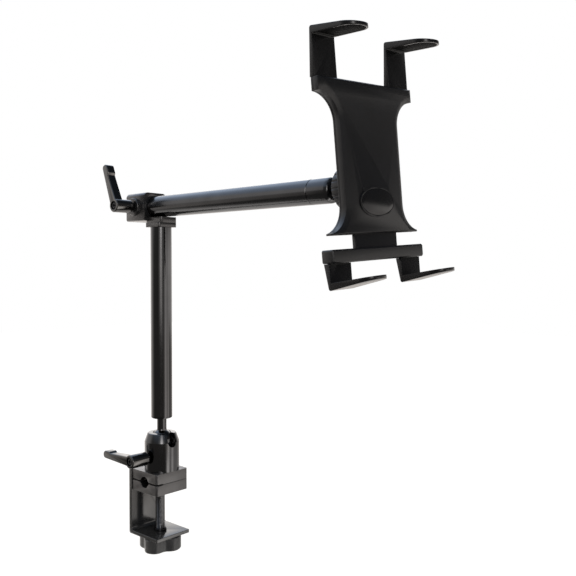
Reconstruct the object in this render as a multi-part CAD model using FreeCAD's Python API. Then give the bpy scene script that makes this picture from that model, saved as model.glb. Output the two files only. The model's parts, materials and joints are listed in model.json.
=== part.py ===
import FreeCAD
import Part
import math
import os
from FreeCAD import Vector, Rotation, Placement

os.makedirs("parts", exist_ok=True)

# Tablet clamp mount. Millimetres, +Z up.
# The origin is on the pole's axis, in the plane of the desk top that the upper jaw rests on.
# +X runs along the arm towards the tablet holder, and the levers stand out to -Y.

# Fits
running_gap = 0.05
guide_gap = 0.3
seat_gap = 0.2

# Desk clamp
jaw_length = 47.5
jaw_width = 47.0
jaw_height = 12.5
jaw_setback = 3.75
jaw_edge_radius = 3.0
jaw_gap = 0.4
jaw_travel = 45.0
jaw_stop_gap = 1.6
groove_mouth = 17.0
groove_floor = 7.0
groove_depth = 6.0
plate_thickness = 5.0
flange_thickness = 4.0
flange_lip = 1.5
bracket_margin = 1.25
bracket_fillet = 4.0
bracket_bend = 2.4
flange_corner = 1.2
back_corner = 1.0
plate_screw_spacing = 26.0
plate_screw_radius = 2.5
plate_screw_length = 16.0
plate_screw_head_radius = 4.6
plate_screw_key = 1.4

# Clamp screw and knob
screw_radius = 5.7
screw_seat_depth = 5.0
ring_groove_depth = 1.1
ring_height = 1.2
bush_radius = 7.4
bush_stand = 3.5
bush_chamfer = 0.8
screw_chamfer = 0.8
knob_radius = 26.2
knob_height = 16.5
knob_gap = 1.0
knob_lobes = 4
knob_turn = 24.3
knob_valley_radius = 24.0
knob_valley_depth = 6.4
knob_edge_radius = 2.4
knob_top_edge = 1.2
knob_corner_radius = 3.8
knob_hub_recess = 5.0
knob_screw_radius = 3.0
knob_screw_length = 14.0
knob_washer_radius = 8.5
knob_recess_margin = 1.0
knob_recess_flare = 1.5
knob_washer_height = 1.6
knob_screw_head_height = 2.4

# Lower ball joint
ball_radius = 13.5
ball_depth = 9.7
neck_radius = 5.7
neck_length = 27.2
neck_flare = 0.3
neck_flare_height = 2.6
housing_radius = 20.75
housing_height = 45.0
housing_chamfer = 0.8
cone_height = 10.3
cone_top_radius = 17.2
cone_lip = 1.2
cone_lip_height = 1.0
ball_mouth_chamfer = 1.6
notch_width = 12.4
lock_height = 17.0
seat_length = 12.0
seat_wall = 1.5
stem_end = 1.0
base_plug_height = 9.0
housing_screw_radius = 2.0
housing_screw_head = 3.5
housing_screw_head_height = 3.6
housing_screw_key = 1.6
housing_screw_key_depth = 1.8
housing_screw_sink = 4.6
housing_screw_length = 20.0

# Ratchet levers
lever_reach = 53.0
lever_hub_radius = 8.0
lever_depth = 11.0
lever_arm_thickness = 7.2
lever_stand = 27.0
lever_root_half_width = 5.6
lever_tip_radius = 4.2
lever_grip_length = 12.0
lever_grip_rise = 1.8
lever_grip_step = 2.4
lever_edge = 0.7
lever_stem_gap = 4.5
lever_web = 2.4
lever_spring_room = 8.0
lever_spring_radius = 4.4
lever_spring_bore = 2.8
lever_head_recess = 5.2
lever_recess_depth = 3.0
lever_screw_radius = 2.0
lever_screw_head = 3.6
lever_screw_head_height = 2.2
lever_screw_key = 1.5
lever_screw_key_depth = 1.4
lever_screw_grip = 5.0
lock_screw_radius = 4.0
stud_radius = 5.0
stud_teeth = 16
stud_tooth = 0.5
stud_shoulder_gap = 1.2
lock_point_gap = 2.5
upper_lever_lean = 22.5

# Pole
tube_radius = 12.7
tube_wall = 1.5
pole_length = 228.0
plug_rim = 2.0
plug_depth = 20.0
plug_edge = 1.2
stem_bolt_radius = 5.0
stem_nut_radius = 8.6
stem_nut_height = 6.0
cap_side = 27.0
cap_thickness = 5.2
cap_corner = 2.6
cap_spigot = 22.0

# Tee that carries the arm
saddle_height = 6.8
saddle_offset = 3.5
saddle_bite = 4.0
saddle_rib_reach = 2.0
saddle_rib_rise = 3.0
arm_gap = 0.3
collar_length = 35.0
collar_side = 34.0
collar_setback = 11.0
collar_corner = 6.0
collar_foot_corner = 2.5
liner_wall = 1.25
boss_radius = 10.5
boss_height = 4.0
boss_chamfer = 0.7
pad_radius = 6.0
tee_bolt_radius = 3.0
tee_bolt_head = 5.0
tee_bolt_head_height = 3.2
tee_bolt_sink = 0.4
tee_bolt_key = 2.1
tee_bolt_key_depth = 1.8
tee_bolt_length = 18.0

# Arm
arm_length = 286.0
end_cap_radius = 12.1
end_cap_edge = 1.2
end_cap_spigot = 12.0
end_cap_height = 2.5
head_length = 27.4
head_step = 0.6
head_shoulder = 6.0
head_ball_radius = 12.5
head_neck_radius = 5.6
head_neck_length = 17.0
head_seam_depth = 0.9
head_plug_length = 18.0

# Ball socket behind the holder
nut_radius = 20.5
nut_length = 16.0
nut_lip = 6.0
nut_ribs = 18
nut_rib_radius = 1.4
nut_rib_offset = 0.4
nut_chamfer = 1.2
lip_chamfer = 0.8
nut_thread_room = 0.5
socket_boss_radius = 15.8
socket_flange_radius = 22.0
socket_flange_height = 4.0
socket_flange_chamfer = 0.8
socket_screw_pcd = 37.0
socket_screw_radius = 1.6
socket_screw_head = 2.4
socket_screw_head_height = 1.6
socket_screw_round = 0.5
socket_screw_length = 7.0

# Tablet holder, in its own frame: x towards the tablet, y across, z up, ball centre at 0
holder_turn = -4.9
holder_tilt = 2.4
holder_roll = 3.85
back_plane = 20.0
back_taper = 1.5
back_taper_depth = 1.5
split_plane = 24.0
rim_plane = 29.5
front_plane = 31.5
bevel_inset = 5.5
bevel_end_inset = 1.5
bar_half_width = 64.0
bar_height = 12.0
waist_half_width = 40.0
flare_radius = 25.0
foot_height = 1.0
foot_half_width = 59.5
waist_bottom = -18.5
waist_top = 55.0
shell_wall = 2.0
least_edge = 0.6
rail_width = 2.0
badge_centre = -16.0
badge_half_width = 22.5
badge_half_height = 12.4
badge_margin = 1.6
badge_stand = 1.4
badge_plate = 1.0
badge_tab_half_width = 18.5
badge_tab_top = -2.3
badge_tab_height = 0.8
tongue_half_width = 29.3
tongue_thickness = 3.5
tongue_length = 96.0
slider_drop = 12.2
slider_bar_half_width = 64.2
slider_bar_height = 12.0
slider_bar_back = 19.0
slider_bar_front = 32.0
slider_corner = 2.0
slider_chamfer = 1.2
leg_width = 28.5
leg_thickness = 4.0
leg_plane = 26.4
leg_heel = 6.2
leg_end_thickness = 2.6
leg_tenon_inset = 2.4
leg_root = 9.0
leg_corner = 2.2
upper_leg_reach = 43.0
lower_leg_reach = 23.3
hook_length = 46.6
hook_root_height = 6.5
hook_tip_height = 3.0
hook_slope = 8.3
hook_rim = 2.0
hook_recess = 1.4
pad_thickness = 1.2
pad_inset = 0.4
pad_start = 3.0
leg_screw_radius = 1.6
leg_screw_head = 2.6
leg_screw_head_height = 1.0
leg_screw_wall = 1.4
leg_screw_length = 8.0
case_screw_inset = 5.5
case_screw_rise = 6.0
case_screw_radius = 1.5
case_screw_head = 2.4
case_screw_head_height = 1.8
case_screw_sink = 2.6
case_screw_length = 6.5
screw_post_wall = 2.3
spring_radius = 2.2
spring_bore = 1.6
spring_offset = 20.0
spring_length = 42.0
spring_bed = 5.0

# Heights and stations that follow from the sizes above
jaw_back = -jaw_setback - jaw_length / 2
jaw_front = -jaw_setback + jaw_length / 2
plate_back = jaw_back - plate_thickness
bracket_half_width = jaw_width / 2 + bracket_margin
lower_jaw_top = -jaw_gap
lower_jaw_bottom = lower_jaw_top - jaw_height
bush_top = lower_jaw_bottom - jaw_travel - jaw_stop_gap
flange_top = bush_top - bush_stand
flange_bottom = flange_top - flange_thickness
knob_top = flange_bottom - knob_gap
knob_bottom = knob_top - knob_height
screw_x = -jaw_setback
screw_top = lower_jaw_bottom + screw_seat_depth
housing_top = jaw_height + housing_height
ball_z = housing_top - ball_depth
lock_z = jaw_height + lock_height
pole_bottom = ball_z + neck_length
tube_bottom = pole_bottom + plug_rim
tube_top = tube_bottom + pole_length
cap_top = tube_top + cap_thickness
arm_z = cap_top + saddle_height + arm_gap + tube_radius
tube_bore = tube_radius - tube_wall
collar_front = -collar_setback
collar_back = collar_front - collar_length
arm_back = collar_back
arm_front = arm_back + arm_length
head_front = arm_front + head_step + head_length
head_ball_x = head_front + head_neck_length
bar_bottom = waist_top + flare_radius
bar_top = bar_bottom + bar_height
shell_bottom = waist_bottom - flare_radius - foot_height
slider_bar_top = shell_bottom - slider_drop
slider_bar_bottom = slider_bar_top - slider_bar_height
slider_top = slider_bar_top + tongue_length
tongue_back = split_plane + guide_gap
tongue_front = tongue_back + tongue_thickness
leg_offset = bar_half_width - leg_width / 2
leg_back = leg_plane - leg_thickness
heel_back = leg_plane - leg_heel
outer_back = leg_plane - leg_end_thickness
leg_screw_seat = leg_back - leg_screw_wall
hook_tip = leg_plane + hook_length
upper_root = bar_top - leg_root
upper_end = bar_top + upper_leg_reach
lower_root = slider_bar_bottom + leg_root
lower_end = slider_bar_bottom - lower_leg_reach
upper_leg_screw_z = bar_top - leg_root / 2
lower_leg_screw_z = slider_bar_bottom + leg_root / 2
spring_top = waist_top + spring_bed
spring_low = spring_top - spring_length
room_back = back_plane + shell_wall
room_front = rim_plane - shell_wall
well_start = -lever_stand + lever_recess_depth + lever_web
stud_start = well_start + lever_spring_room
tee_bolt_seat = cap_top + saddle_height - tee_bolt_head_height - tee_bolt_sink


def cylinder(radius, height, base, direction):
    return Part.makeCylinder(radius, height, Vector(*base), Vector(*direction))


def cone(radius_a, radius_b, height, base, direction):
    return Part.makeCone(radius_a, radius_b, height, Vector(*base), Vector(*direction))


def block(low, high):
    size = [b - a for a, b in zip(low, high)]
    return Part.makeBox(size[0], size[1], size[2], Vector(*low))


def path_face(points, arcs=()):
    """Flat face through points; arcs maps an edge's first index to a point on that edge's arc."""
    arcs = dict(arcs)
    edges = []
    for i, start in enumerate(points):
        end = points[(i + 1) % len(points)]
        if i in arcs:
            edges.append(Part.Arc(start, arcs[i], end).toShape())
        else:
            edges.append(Part.LineSegment(start, end).toShape())
    return Part.Face(Part.Wire(edges))


def rounded_outline(low, high, radii, place):
    """Rectangle with one radius for each corner, from low-low round to low-high."""
    (x0, y0), (x1, y1) = low, high
    corners = [(x0, y0, 0), (x1, y0, 90), (x1, y1, 180), (x0, y1, 270)]
    points = []
    arcs = {}
    for (x, y, turn), radius in zip(corners, radii):
        angle = math.radians(turn)
        inward = (math.cos(angle) - math.sin(angle), math.sin(angle) + math.cos(angle))
        if radius <= 0:
            points.append(place(x, y))
            continue
        centre = (x + inward[0] * radius, y + inward[1] * radius)
        sweep = []
        for part in (180, 225, 270):
            theta = math.radians(turn + part)
            sweep.append(place(centre[0] + radius * math.cos(theta), centre[1] + radius * math.sin(theta)))
        arcs[len(points)] = sweep[1]
        points += [sweep[0], sweep[2]]
    return path_face(points, arcs)


def plate_z(low, high, radii):
    """Upright prism over a rounded rectangle in the XY plane."""
    face = rounded_outline(low[:2], high[:2], radii, lambda x, y: Vector(x, y, low[2]))
    return face.extrude(Vector(0, 0, high[2] - low[2]))


def bar_x(low, high, radii):
    """Prism along X over a rounded rectangle in the YZ plane."""
    face = rounded_outline(low[1:], high[1:], radii, lambda y, z: Vector(low[0], y, z))
    return face.extrude(Vector(high[0] - low[0], 0, 0))


def revolve_z(profile, x=0.0, y=0.0, arcs=()):
    """Solid of revolution about an upright axis from (radius, height) points."""
    points = [Vector(x + radius, y, height) for radius, height in profile]
    arcs = {i: Vector(x + p[0], y, p[1]) for i, p in dict(arcs).items()}
    return path_face(points, arcs).revolve(Vector(x, y, 0), Vector(0, 0, 1), 360)


def edges_along(shape, direction, test):
    """Straight edges parallel to direction whose middle passes the test."""
    found = []
    for edge in shape.Edges:
        if not isinstance(edge.Curve, Part.Line):
            continue
        along = edge.tangentAt(edge.FirstParameter)
        if abs(abs(along.dot(direction)) - 1) > 1e-6:
            continue
        if test(edge.CenterOfMass):
            found.append(edge)
    return found


def edges_at(shape, test):
    """Edges whose bounding box passes the test."""
    return [edge for edge in shape.Edges if test(edge.BoundBox)]


def flat_at_z(height):
    return lambda box: abs(box.ZMin - height) < 1e-4 and abs(box.ZMax - height) < 1e-4


def jaw_groove(top_sign):
    """V groove across a jaw, open at z = 0 on the side given by the sign."""
    y0 = -jaw_width
    depth = groove_depth * top_sign
    lap = -1.0 * top_sign
    points = [
        Vector(screw_x - groove_mouth / 2, y0, lap),
        Vector(screw_x - groove_mouth / 2, y0, 0),
        Vector(screw_x - groove_floor / 2, y0, depth),
        Vector(screw_x + groove_floor / 2, y0, depth),
        Vector(screw_x + groove_mouth / 2, y0, 0),
        Vector(screw_x + groove_mouth / 2, y0, lap),
    ]
    return path_face(points).extrude(Vector(0, 2 * jaw_width, 0))


def jaw_blank(bottom):
    return plate_z(
        (jaw_back, -jaw_width / 2, bottom),
        (jaw_front, jaw_width / 2, bottom + jaw_height),
        [back_corner, jaw_edge_radius, jaw_edge_radius, back_corner],
    )


def housing_screw_places():
    """Three screws clear of the groove: two in front and one behind."""
    wall_middle = (housing_radius + ball_radius) / 2
    for angle in (45, -45, 180):
        yield wall_middle * math.cos(math.radians(angle)), wall_middle * math.sin(math.radians(angle))


def plate_screw_places():
    for side in (-1, 1):
        yield side * plate_screw_spacing / 2, jaw_height / 2


def make_upper_jaw():
    jaw = jaw_blank(0.0)
    jaw = jaw.cut(jaw_groove(1))
    for x, y in housing_screw_places():
        jaw = jaw.cut(cylinder(housing_screw_radius, jaw_height, (x, y, 0), (0, 0, 1)))
        jaw = jaw.cut(cylinder(housing_screw_head + seat_gap, housing_screw_sink, (x, y, 0), (0, 0, 1)))
    for y, z in plate_screw_places():
        depth = plate_screw_length - plate_thickness
        jaw = jaw.cut(cylinder(plate_screw_radius, depth, (jaw_back, y, z), (1, 0, 0)))
    return jaw


def make_lower_jaw():
    jaw = jaw_blank(lower_jaw_bottom)
    jaw = jaw.cut(jaw_groove(-1).translate(Vector(0, 0, lower_jaw_top)))
    jaw = jaw.cut(cylinder(screw_radius + running_gap, screw_seat_depth + running_gap,
                           (screw_x, 0, lower_jaw_bottom), (0, 0, 1)))
    jaw = jaw.cut(cylinder(screw_radius + ring_groove_depth, ring_height,
                           (screw_x, 0, ring_bottom()), (0, 0, 1)))
    return jaw.cut(block((jaw_back - 1, -jaw_width, lower_jaw_bottom - 1),
                         (jaw_back + guide_gap, jaw_width, lower_jaw_top + 1)))


def ring_bottom():
    return lower_jaw_bottom + (screw_seat_depth - ring_height) / 2


def make_jaw_ring():
    """Snap ring that holds the screw's end in the lower jaw and lets it turn."""
    outer = cylinder(screw_radius + ring_groove_depth, ring_height, (screw_x, 0, ring_bottom()), (0, 0, 1))
    bore = screw_radius - ring_groove_depth + running_gap
    return outer.cut(cylinder(bore, ring_height, (screw_x, 0, ring_bottom()), (0, 0, 1)))


def make_bracket():
    """Upright plate and bottom flange in one piece, with a fillet inside the corner."""
    half = bracket_half_width
    plate = block((plate_back, -half, flange_bottom), (jaw_back, half, jaw_height))
    flange = block((plate_back, -half, flange_bottom), (jaw_front + flange_lip, half, flange_top))
    bracket = plate.fuse(flange).removeSplitter()
    inner = edges_along(bracket, Vector(0, 1, 0),
                        lambda p: abs(p.x - jaw_back) < 0.01 and abs(p.z - flange_top) < 0.01)
    bracket = bracket.makeFillet(bracket_fillet, inner)
    outer = edges_along(bracket, Vector(0, 1, 0),
                        lambda p: abs(p.x - plate_back) < 0.01 and abs(p.z - flange_bottom) < 0.01)
    bracket = bracket.makeFillet(bracket_bend, outer)
    corners = edges_along(bracket, Vector(0, 0, 1), lambda p: p.x > jaw_front)
    bracket = bracket.makeFillet(flange_corner, corners)
    low = (screw_x, 0, flange_bottom - 1)
    bracket = bracket.cut(cylinder(bush_radius, flange_thickness + 2, low, (0, 0, 1)))
    sink = plate_screw_head_radius - plate_screw_radius
    for y, z in plate_screw_places():
        hole = cylinder(plate_screw_radius, plate_thickness + 2, (plate_back - 1, y, z), (1, 0, 0))
        bracket = bracket.cut(hole)
        countersink = cone(plate_screw_head_radius, plate_screw_radius, sink, (plate_back, y, z), (1, 0, 0))
        bracket = bracket.cut(countersink)
    return bracket


def make_plate_screws():
    """Countersunk screws that hold the upper jaw to the plate."""
    sink = plate_screw_head_radius - plate_screw_radius
    screws = []
    for y, z in plate_screw_places():
        head = cone(plate_screw_head_radius, plate_screw_radius, sink, (plate_back, y, z), (1, 0, 0))
        shank = cylinder(plate_screw_radius, plate_screw_length - sink, (plate_back + sink, y, z), (1, 0, 0))
        socket = cylinder(plate_screw_key, sink, (plate_back, y, z), (1, 0, 0))
        screws.append(head.fuse(shank).cut(socket).removeSplitter())
    return Part.makeCompound(screws)


def make_screw_bush():
    """Threaded bush pressed into the flange, standing a little above it."""
    outer = cylinder(bush_radius, flange_thickness + bush_stand, (screw_x, 0, flange_bottom), (0, 0, 1))
    top = edges_at(outer, flat_at_z(bush_top))
    outer = outer.makeChamfer(bush_chamfer, top)
    return outer.cut(cylinder(screw_radius + running_gap, flange_thickness + bush_stand + 2,
                              (screw_x, 0, flange_bottom - 1), (0, 0, 1)))


def make_clamp_screw():
    """Screw from the knob up into the lower jaw, with the snap ring's groove near its end."""
    low = knob_bottom + knob_hub_recess
    neck = screw_radius - ring_groove_depth
    profile = [
        (0, low),
        (screw_radius, low),
        (screw_radius, ring_bottom()),
        (neck, ring_bottom()),
        (neck, ring_bottom() + ring_height),
        (screw_radius, ring_bottom() + ring_height),
        (screw_radius, screw_top - screw_chamfer),
        (screw_radius - screw_chamfer, screw_top),
        (0, screw_top),
    ]
    screw = revolve_z(profile, screw_x)
    return screw.cut(cylinder(knob_screw_radius, knob_screw_length, (screw_x, 0, low), (0, 0, 1)))


def make_knob():
    """Lobed hand knob: a disc with shallow round valleys, softened all round."""
    knob = cylinder(knob_radius, knob_height, (screw_x, 0, knob_bottom), (0, 0, 1))
    reach = knob_radius - knob_valley_depth + knob_valley_radius
    for i in range(knob_lobes):
        angle = math.radians(knob_turn + (i + 0.5) * 360.0 / knob_lobes)
        low = (screw_x + reach * math.cos(angle), reach * math.sin(angle), knob_bottom - 1)
        knob = knob.cut(cylinder(knob_valley_radius, knob_height + 2, low, (0, 0, 1)))
    upright = edges_along(knob, Vector(0, 0, 1), lambda p: True)
    knob = knob.makeFillet(knob_corner_radius, upright)
    knob = knob.makeFillet(knob_edge_radius, edges_at(knob, flat_at_z(knob_bottom)))
    knob = knob.makeFillet(knob_top_edge, edges_at(knob, flat_at_z(knob_top)))
    seat = (screw_x, 0, knob_bottom + knob_hub_recess)
    knob = knob.cut(cylinder(screw_radius, knob_height, seat, (0, 0, 1)))
    inner = knob_washer_radius + knob_recess_margin
    recess = cone(inner + knob_recess_flare, inner, knob_hub_recess, (screw_x, 0, knob_bottom), (0, 0, 1))
    return knob.cut(recess)


def make_knob_screw():
    """Button screw and washer that fix the knob on the clamp screw's lower end."""
    seat = knob_bottom + knob_hub_recess
    washer_low = seat - knob_washer_height
    profile = [
        (0, washer_low - knob_screw_head_height),
        (knob_screw_radius, washer_low - knob_screw_head_height),
        (knob_screw_radius + knob_screw_head_height, washer_low),
        (knob_washer_radius, washer_low),
        (knob_washer_radius, seat),
        (knob_screw_radius, seat),
        (knob_screw_radius, seat + knob_screw_length - 1.0),
        (0, seat + knob_screw_length - 1.0),
    ]
    return revolve_z(profile, screw_x)


def make_housing():
    """Ball housing: a cylinder with a cone on top, notched so that the neck can lie down."""
    low = jaw_height
    shoulder = housing_top - cone_height
    profile = [
        (0, low),
        (housing_radius - housing_chamfer, low),
        (housing_radius, low + housing_chamfer),
        (housing_radius, shoulder),
        (cone_top_radius, housing_top - cone_lip_height),
        (cone_top_radius - cone_lip, housing_top),
        (0, housing_top),
    ]
    housing = revolve_z(profile)
    housing = housing.cut(Part.makeSphere(ball_radius + running_gap, Vector(0, 0, ball_z)))
    bore = ball_radius + running_gap
    housing = housing.cut(cylinder(bore, ball_z - low + 1, (0, 0, low - 1), (0, 0, 1)))
    lip = math.sqrt(bore ** 2 - ball_depth ** 2)
    mouth = ball_mouth_chamfer
    housing = housing.cut(cone(lip, lip + mouth, mouth, (0, 0, housing_top - mouth), (0, 0, 1)))
    half = notch_width / 2
    notch = cylinder(half, housing_radius + 2, (0, 0, ball_z), (1, 0, 0))
    notch = notch.fuse(block((0, -half, ball_z), (housing_radius + 2, half, housing_top + 2)))
    housing = housing.cut(notch)
    lock = lock_screw_radius + running_gap
    housing = housing.cut(cylinder(lock, housing_radius + 2, (0, 0, lock_z), (0, -1, 0)))
    for x, y in housing_screw_places():
        depth = housing_screw_length - (jaw_height - housing_screw_sink)
        housing = housing.cut(cylinder(housing_screw_radius, depth, (x, y, low), (0, 0, 1)))
    return housing


def make_base_plug():
    """Plug that closes the bottom of the housing's bore."""
    plug = cylinder(ball_radius + running_gap, base_plug_height, (0, 0, jaw_height), (0, 0, 1))
    return plug.makeChamfer(housing_chamfer, edges_at(plug, flat_at_z(jaw_height + base_plug_height)))


def make_ball_seat():
    """Cup under the ball, with the cross hole that the lock screw's point wedges in."""
    top = ball_z - notch_width / 2 - seat_gap
    low = min(top - seat_length, lock_z - lock_screw_radius - seat_wall)
    seat = cylinder(ball_radius - seat_gap, top - low, (0, 0, low), (0, 0, 1))
    seat = seat.cut(Part.makeSphere(ball_radius + running_gap, Vector(0, 0, ball_z)))
    hole = cylinder(lock_screw_radius + running_gap, ball_radius, (0, -1.0, lock_z), (0, -1, 0))
    return seat.cut(hole)


def make_housing_screws():
    """Cap screws from the jaw's underside up into the housing's wall."""
    screws = []
    for x, y in housing_screw_places():
        head_low = housing_screw_sink - housing_screw_head_height
        head = cylinder(housing_screw_head, housing_screw_head_height, (x, y, head_low), (0, 0, 1))
        socket = cylinder(housing_screw_key, housing_screw_key_depth, (x, y, head_low), (0, 0, 1))
        shank = cylinder(housing_screw_radius, housing_screw_length, (x, y, housing_screw_sink), (0, 0, 1))
        screws.append(head.cut(socket).fuse(shank).removeSplitter())
    return Part.makeCompound(screws)


def make_ball_stem():
    """Ball, neck and threaded spigot that carries the pole."""
    ball_top = ball_z + math.sqrt(ball_radius ** 2 - (neck_radius + neck_flare) ** 2)
    spigot_top = tube_bottom + plug_depth + stem_nut_height + stem_end
    profile = [
        (0, ball_z - ball_radius),
        (neck_radius + neck_flare, ball_top),
        (neck_radius, ball_top + neck_flare_height),
        (neck_radius, pole_bottom),
        (stem_bolt_radius, pole_bottom),
        (stem_bolt_radius, spigot_top),
        (0, spigot_top),
    ]
    return revolve_z(profile, arcs={0: (ball_radius, ball_z)})


def make_stem_nut():
    """Hexagon nut inside the plug that keeps the pole on its spigot."""
    low = tube_bottom + plug_depth + running_gap
    points = []
    for i in range(6):
        angle = math.radians(60 * i)
        points.append(Vector(stem_nut_radius * math.cos(angle), stem_nut_radius * math.sin(angle), low))
    nut = path_face(points).extrude(Vector(0, 0, stem_nut_height))
    return nut.cut(cylinder(stem_bolt_radius, stem_nut_height + 2, (0, 0, low - 1), (0, 0, 1)))


def make_pole_plug():
    """Bottom plug of the pole, its rim as wide as the tube and rounded below."""
    bore = stem_bolt_radius + running_gap
    edge = plug_edge
    bend = edge * (1 - math.sqrt(0.5))
    profile = [
        (bore, pole_bottom),
        (tube_radius - edge, pole_bottom),
        (tube_radius, pole_bottom + edge),
        (tube_radius, tube_bottom),
        (tube_bore, tube_bottom),
        (tube_bore, tube_bottom + plug_depth),
        (bore, tube_bottom + plug_depth),
    ]
    return revolve_z(profile, arcs={1: (tube_radius - bend, pole_bottom + bend)})


def make_pole_tube():
    tube = cylinder(tube_radius, pole_length, (0, 0, tube_bottom), (0, 0, 1))
    return tube.cut(cylinder(tube_bore, pole_length + 2, (0, 0, tube_bottom - 1), (0, 0, 1)))


def make_pole_cap():
    """Square cap with a spigot in the pole's top, drilled for the tee's bolt."""
    half = cap_side / 2
    cap = plate_z((-half, -half, tube_top), (half, half, cap_top), [cap_corner] * 4)
    cap = cap.fuse(cylinder(tube_bore, cap_spigot, (0, 0, tube_top - cap_spigot), (0, 0, 1))).removeSplitter()
    depth = cap_top - tee_bolt_seat + tee_bolt_length
    return cap.cut(cylinder(tee_bolt_radius, depth, (0, 0, cap_top - depth), (0, 0, 1)))


def make_tee():
    """Collar block round the arm, the saddle under it and the lever's boss in one casting."""
    half = collar_side / 2
    corners = [collar_foot_corner, collar_foot_corner, collar_corner, collar_corner]
    collar = bar_x((collar_back, -half, arm_z - half), (collar_front, half, arm_z + half), corners)
    side = cap_side / 2
    near = -side + saddle_offset
    saddle = plate_z((collar_front - saddle_bite, near, cap_top),
                     (side, side, cap_top + saddle_height), [0, cap_corner, cap_corner, 0])
    rib = plate_z((collar_front - saddle_bite, near, cap_top),
                  (collar_front + saddle_rib_reach, side, arm_z - half + saddle_rib_rise), [0, 0, 0, 0])
    face = -half - boss_height
    boss = cylinder(boss_radius, boss_height + saddle_bite, (collar_mid(), face, arm_z), (0, 1, 0))
    rim = edges_at(boss, lambda b: abs(b.YMin - face) < 1e-4 and abs(b.YMax - face) < 1e-4)
    tee = collar.fuse([saddle, rib, boss.makeChamfer(boss_chamfer, rim)]).removeSplitter()
    bore = tube_radius + running_gap + liner_wall
    clear = tube_radius + arm_gap
    sink = tee_bolt_head_height + tee_bolt_sink + 1
    for radius, length, base, direction in (
        (bore, collar_length + 2, (collar_back - 1, 0, arm_z), (1, 0, 0)),
        (clear, collar_setback + side + 2, (collar_front - 1, 0, arm_z), (1, 0, 0)),
        (lock_screw_radius + running_gap, half + boss_height + 2, (collar_mid(), 0, arm_z), (0, -1, 0)),
        (tee_bolt_radius, saddle_height + 2, (0, 0, cap_top - 1), (0, 0, 1)),
        (tee_bolt_head + seat_gap, sink, (0, 0, tee_bolt_seat), (0, 0, 1)),
    ):
        tee = tee.cut(cylinder(radius, length, base, direction))
    return tee


def collar_mid():
    return (collar_front + collar_back) / 2


def make_tee_bolt():
    """Low-head bolt from the saddle down into the pole's cap."""
    key_low = tee_bolt_seat + tee_bolt_head_height - tee_bolt_key_depth
    head = cylinder(tee_bolt_head, tee_bolt_head_height, (0, 0, tee_bolt_seat), (0, 0, 1))
    socket = cylinder(tee_bolt_key, tee_bolt_key_depth, (0, 0, key_low), (0, 0, 1))
    shank = cylinder(tee_bolt_radius, tee_bolt_length, (0, 0, tee_bolt_seat), (0, 0, -1))
    return head.cut(socket).fuse(shank).removeSplitter()


def make_liner():
    """Thin plastic sleeve in the collar, with a hole for the pressure pad."""
    bore = tube_radius + running_gap
    outer = cylinder(bore + liner_wall, collar_length, (collar_back, 0, arm_z), (1, 0, 0))
    liner = outer.cut(cylinder(bore, collar_length + 2, (collar_back - 1, 0, arm_z), (1, 0, 0)))
    return liner.cut(cylinder(pad_radius + seat_gap, collar_side, (collar_mid(), 0, arm_z), (0, -1, 0)))


def make_pressure_pad():
    """Round pad, hollowed to the arm's curve, that the upper lock screw pushes."""
    bore = tube_radius + running_gap
    outer = bore + liner_wall
    pad = cylinder(pad_radius, outer + 1, (collar_mid(), 0, arm_z), (0, -1, 0))
    pad = pad.common(cylinder(outer, collar_length, (collar_back, 0, arm_z), (1, 0, 0)))
    return pad.cut(cylinder(bore, collar_length + 2, (collar_back - 1, 0, arm_z), (1, 0, 0)))


def lever_frame(x, y, z, turn):
    """Placement of a lever: its hub axis runs out along -Y from (x, y, z), its arm at the turn."""
    return Placement(Vector(x, y, z), Rotation(Vector(0, -1, 0), turn))


def make_lever():
    """Lever arm about a hub axis on -Y, pointing to +Z before it is placed.

    The arm narrows from its root to a step, where the grip starts, and ends round."""
    front = -lever_stand
    half = lever_arm_thickness / 2
    tip = lever_reach
    rounding = lever_tip_radius
    grip = half + lever_grip_rise
    grip_start = tip - lever_grip_length
    root = lever_root_half_width
    root_rise = math.sqrt(lever_hub_radius ** 2 - root ** 2)
    points = [
        Vector(-half, front, tip - rounding),
        Vector(-half + rounding, front, tip),
        Vector(grip - rounding, front, tip),
        Vector(grip, front, tip - rounding),
        Vector(grip, front, grip_start),
        Vector(half, front, grip_start - lever_grip_step),
        Vector(root, front, root_rise),
        Vector(-root, front, root_rise),
    ]
    bend = rounding * (1 - math.sqrt(0.5))
    arcs = {
        0: Vector(-half + bend, front, tip - bend),
        2: Vector(grip - bend, front, tip - bend),
        6: Vector(0, front, -lever_hub_radius),
    }
    lever = path_face(points, arcs).extrude(Vector(0, lever_depth, 0))
    for face in (front, front + lever_depth):
        rim = edges_at(lever, lambda b: abs(b.YMin - face) < 1e-4 and abs(b.YMax - face) < 1e-4)
        lever = lever.makeChamfer(lever_edge, rim)
    bite = lever_edge + 1
    hub_length = lever_stand - lever_depth - lever_stem_gap + bite
    hub = cylinder(lever_hub_radius, hub_length, (0, front + lever_depth - bite, 0), (0, 1, 0))
    lever = lever.fuse(hub).removeSplitter()
    lever = lever.cut(cylinder(lever_head_recess, lever_recess_depth, (0, front, 0), (0, 1, 0)))
    lever = lever.cut(cylinder(lever_screw_radius + seat_gap, lever_depth, (0, front, 0), (0, 1, 0)))
    well = stud_radius + stud_tooth + running_gap
    return lever.cut(cylinder(well, lever_stand, (0, well_start, 0), (0, 1, 0)))


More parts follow.
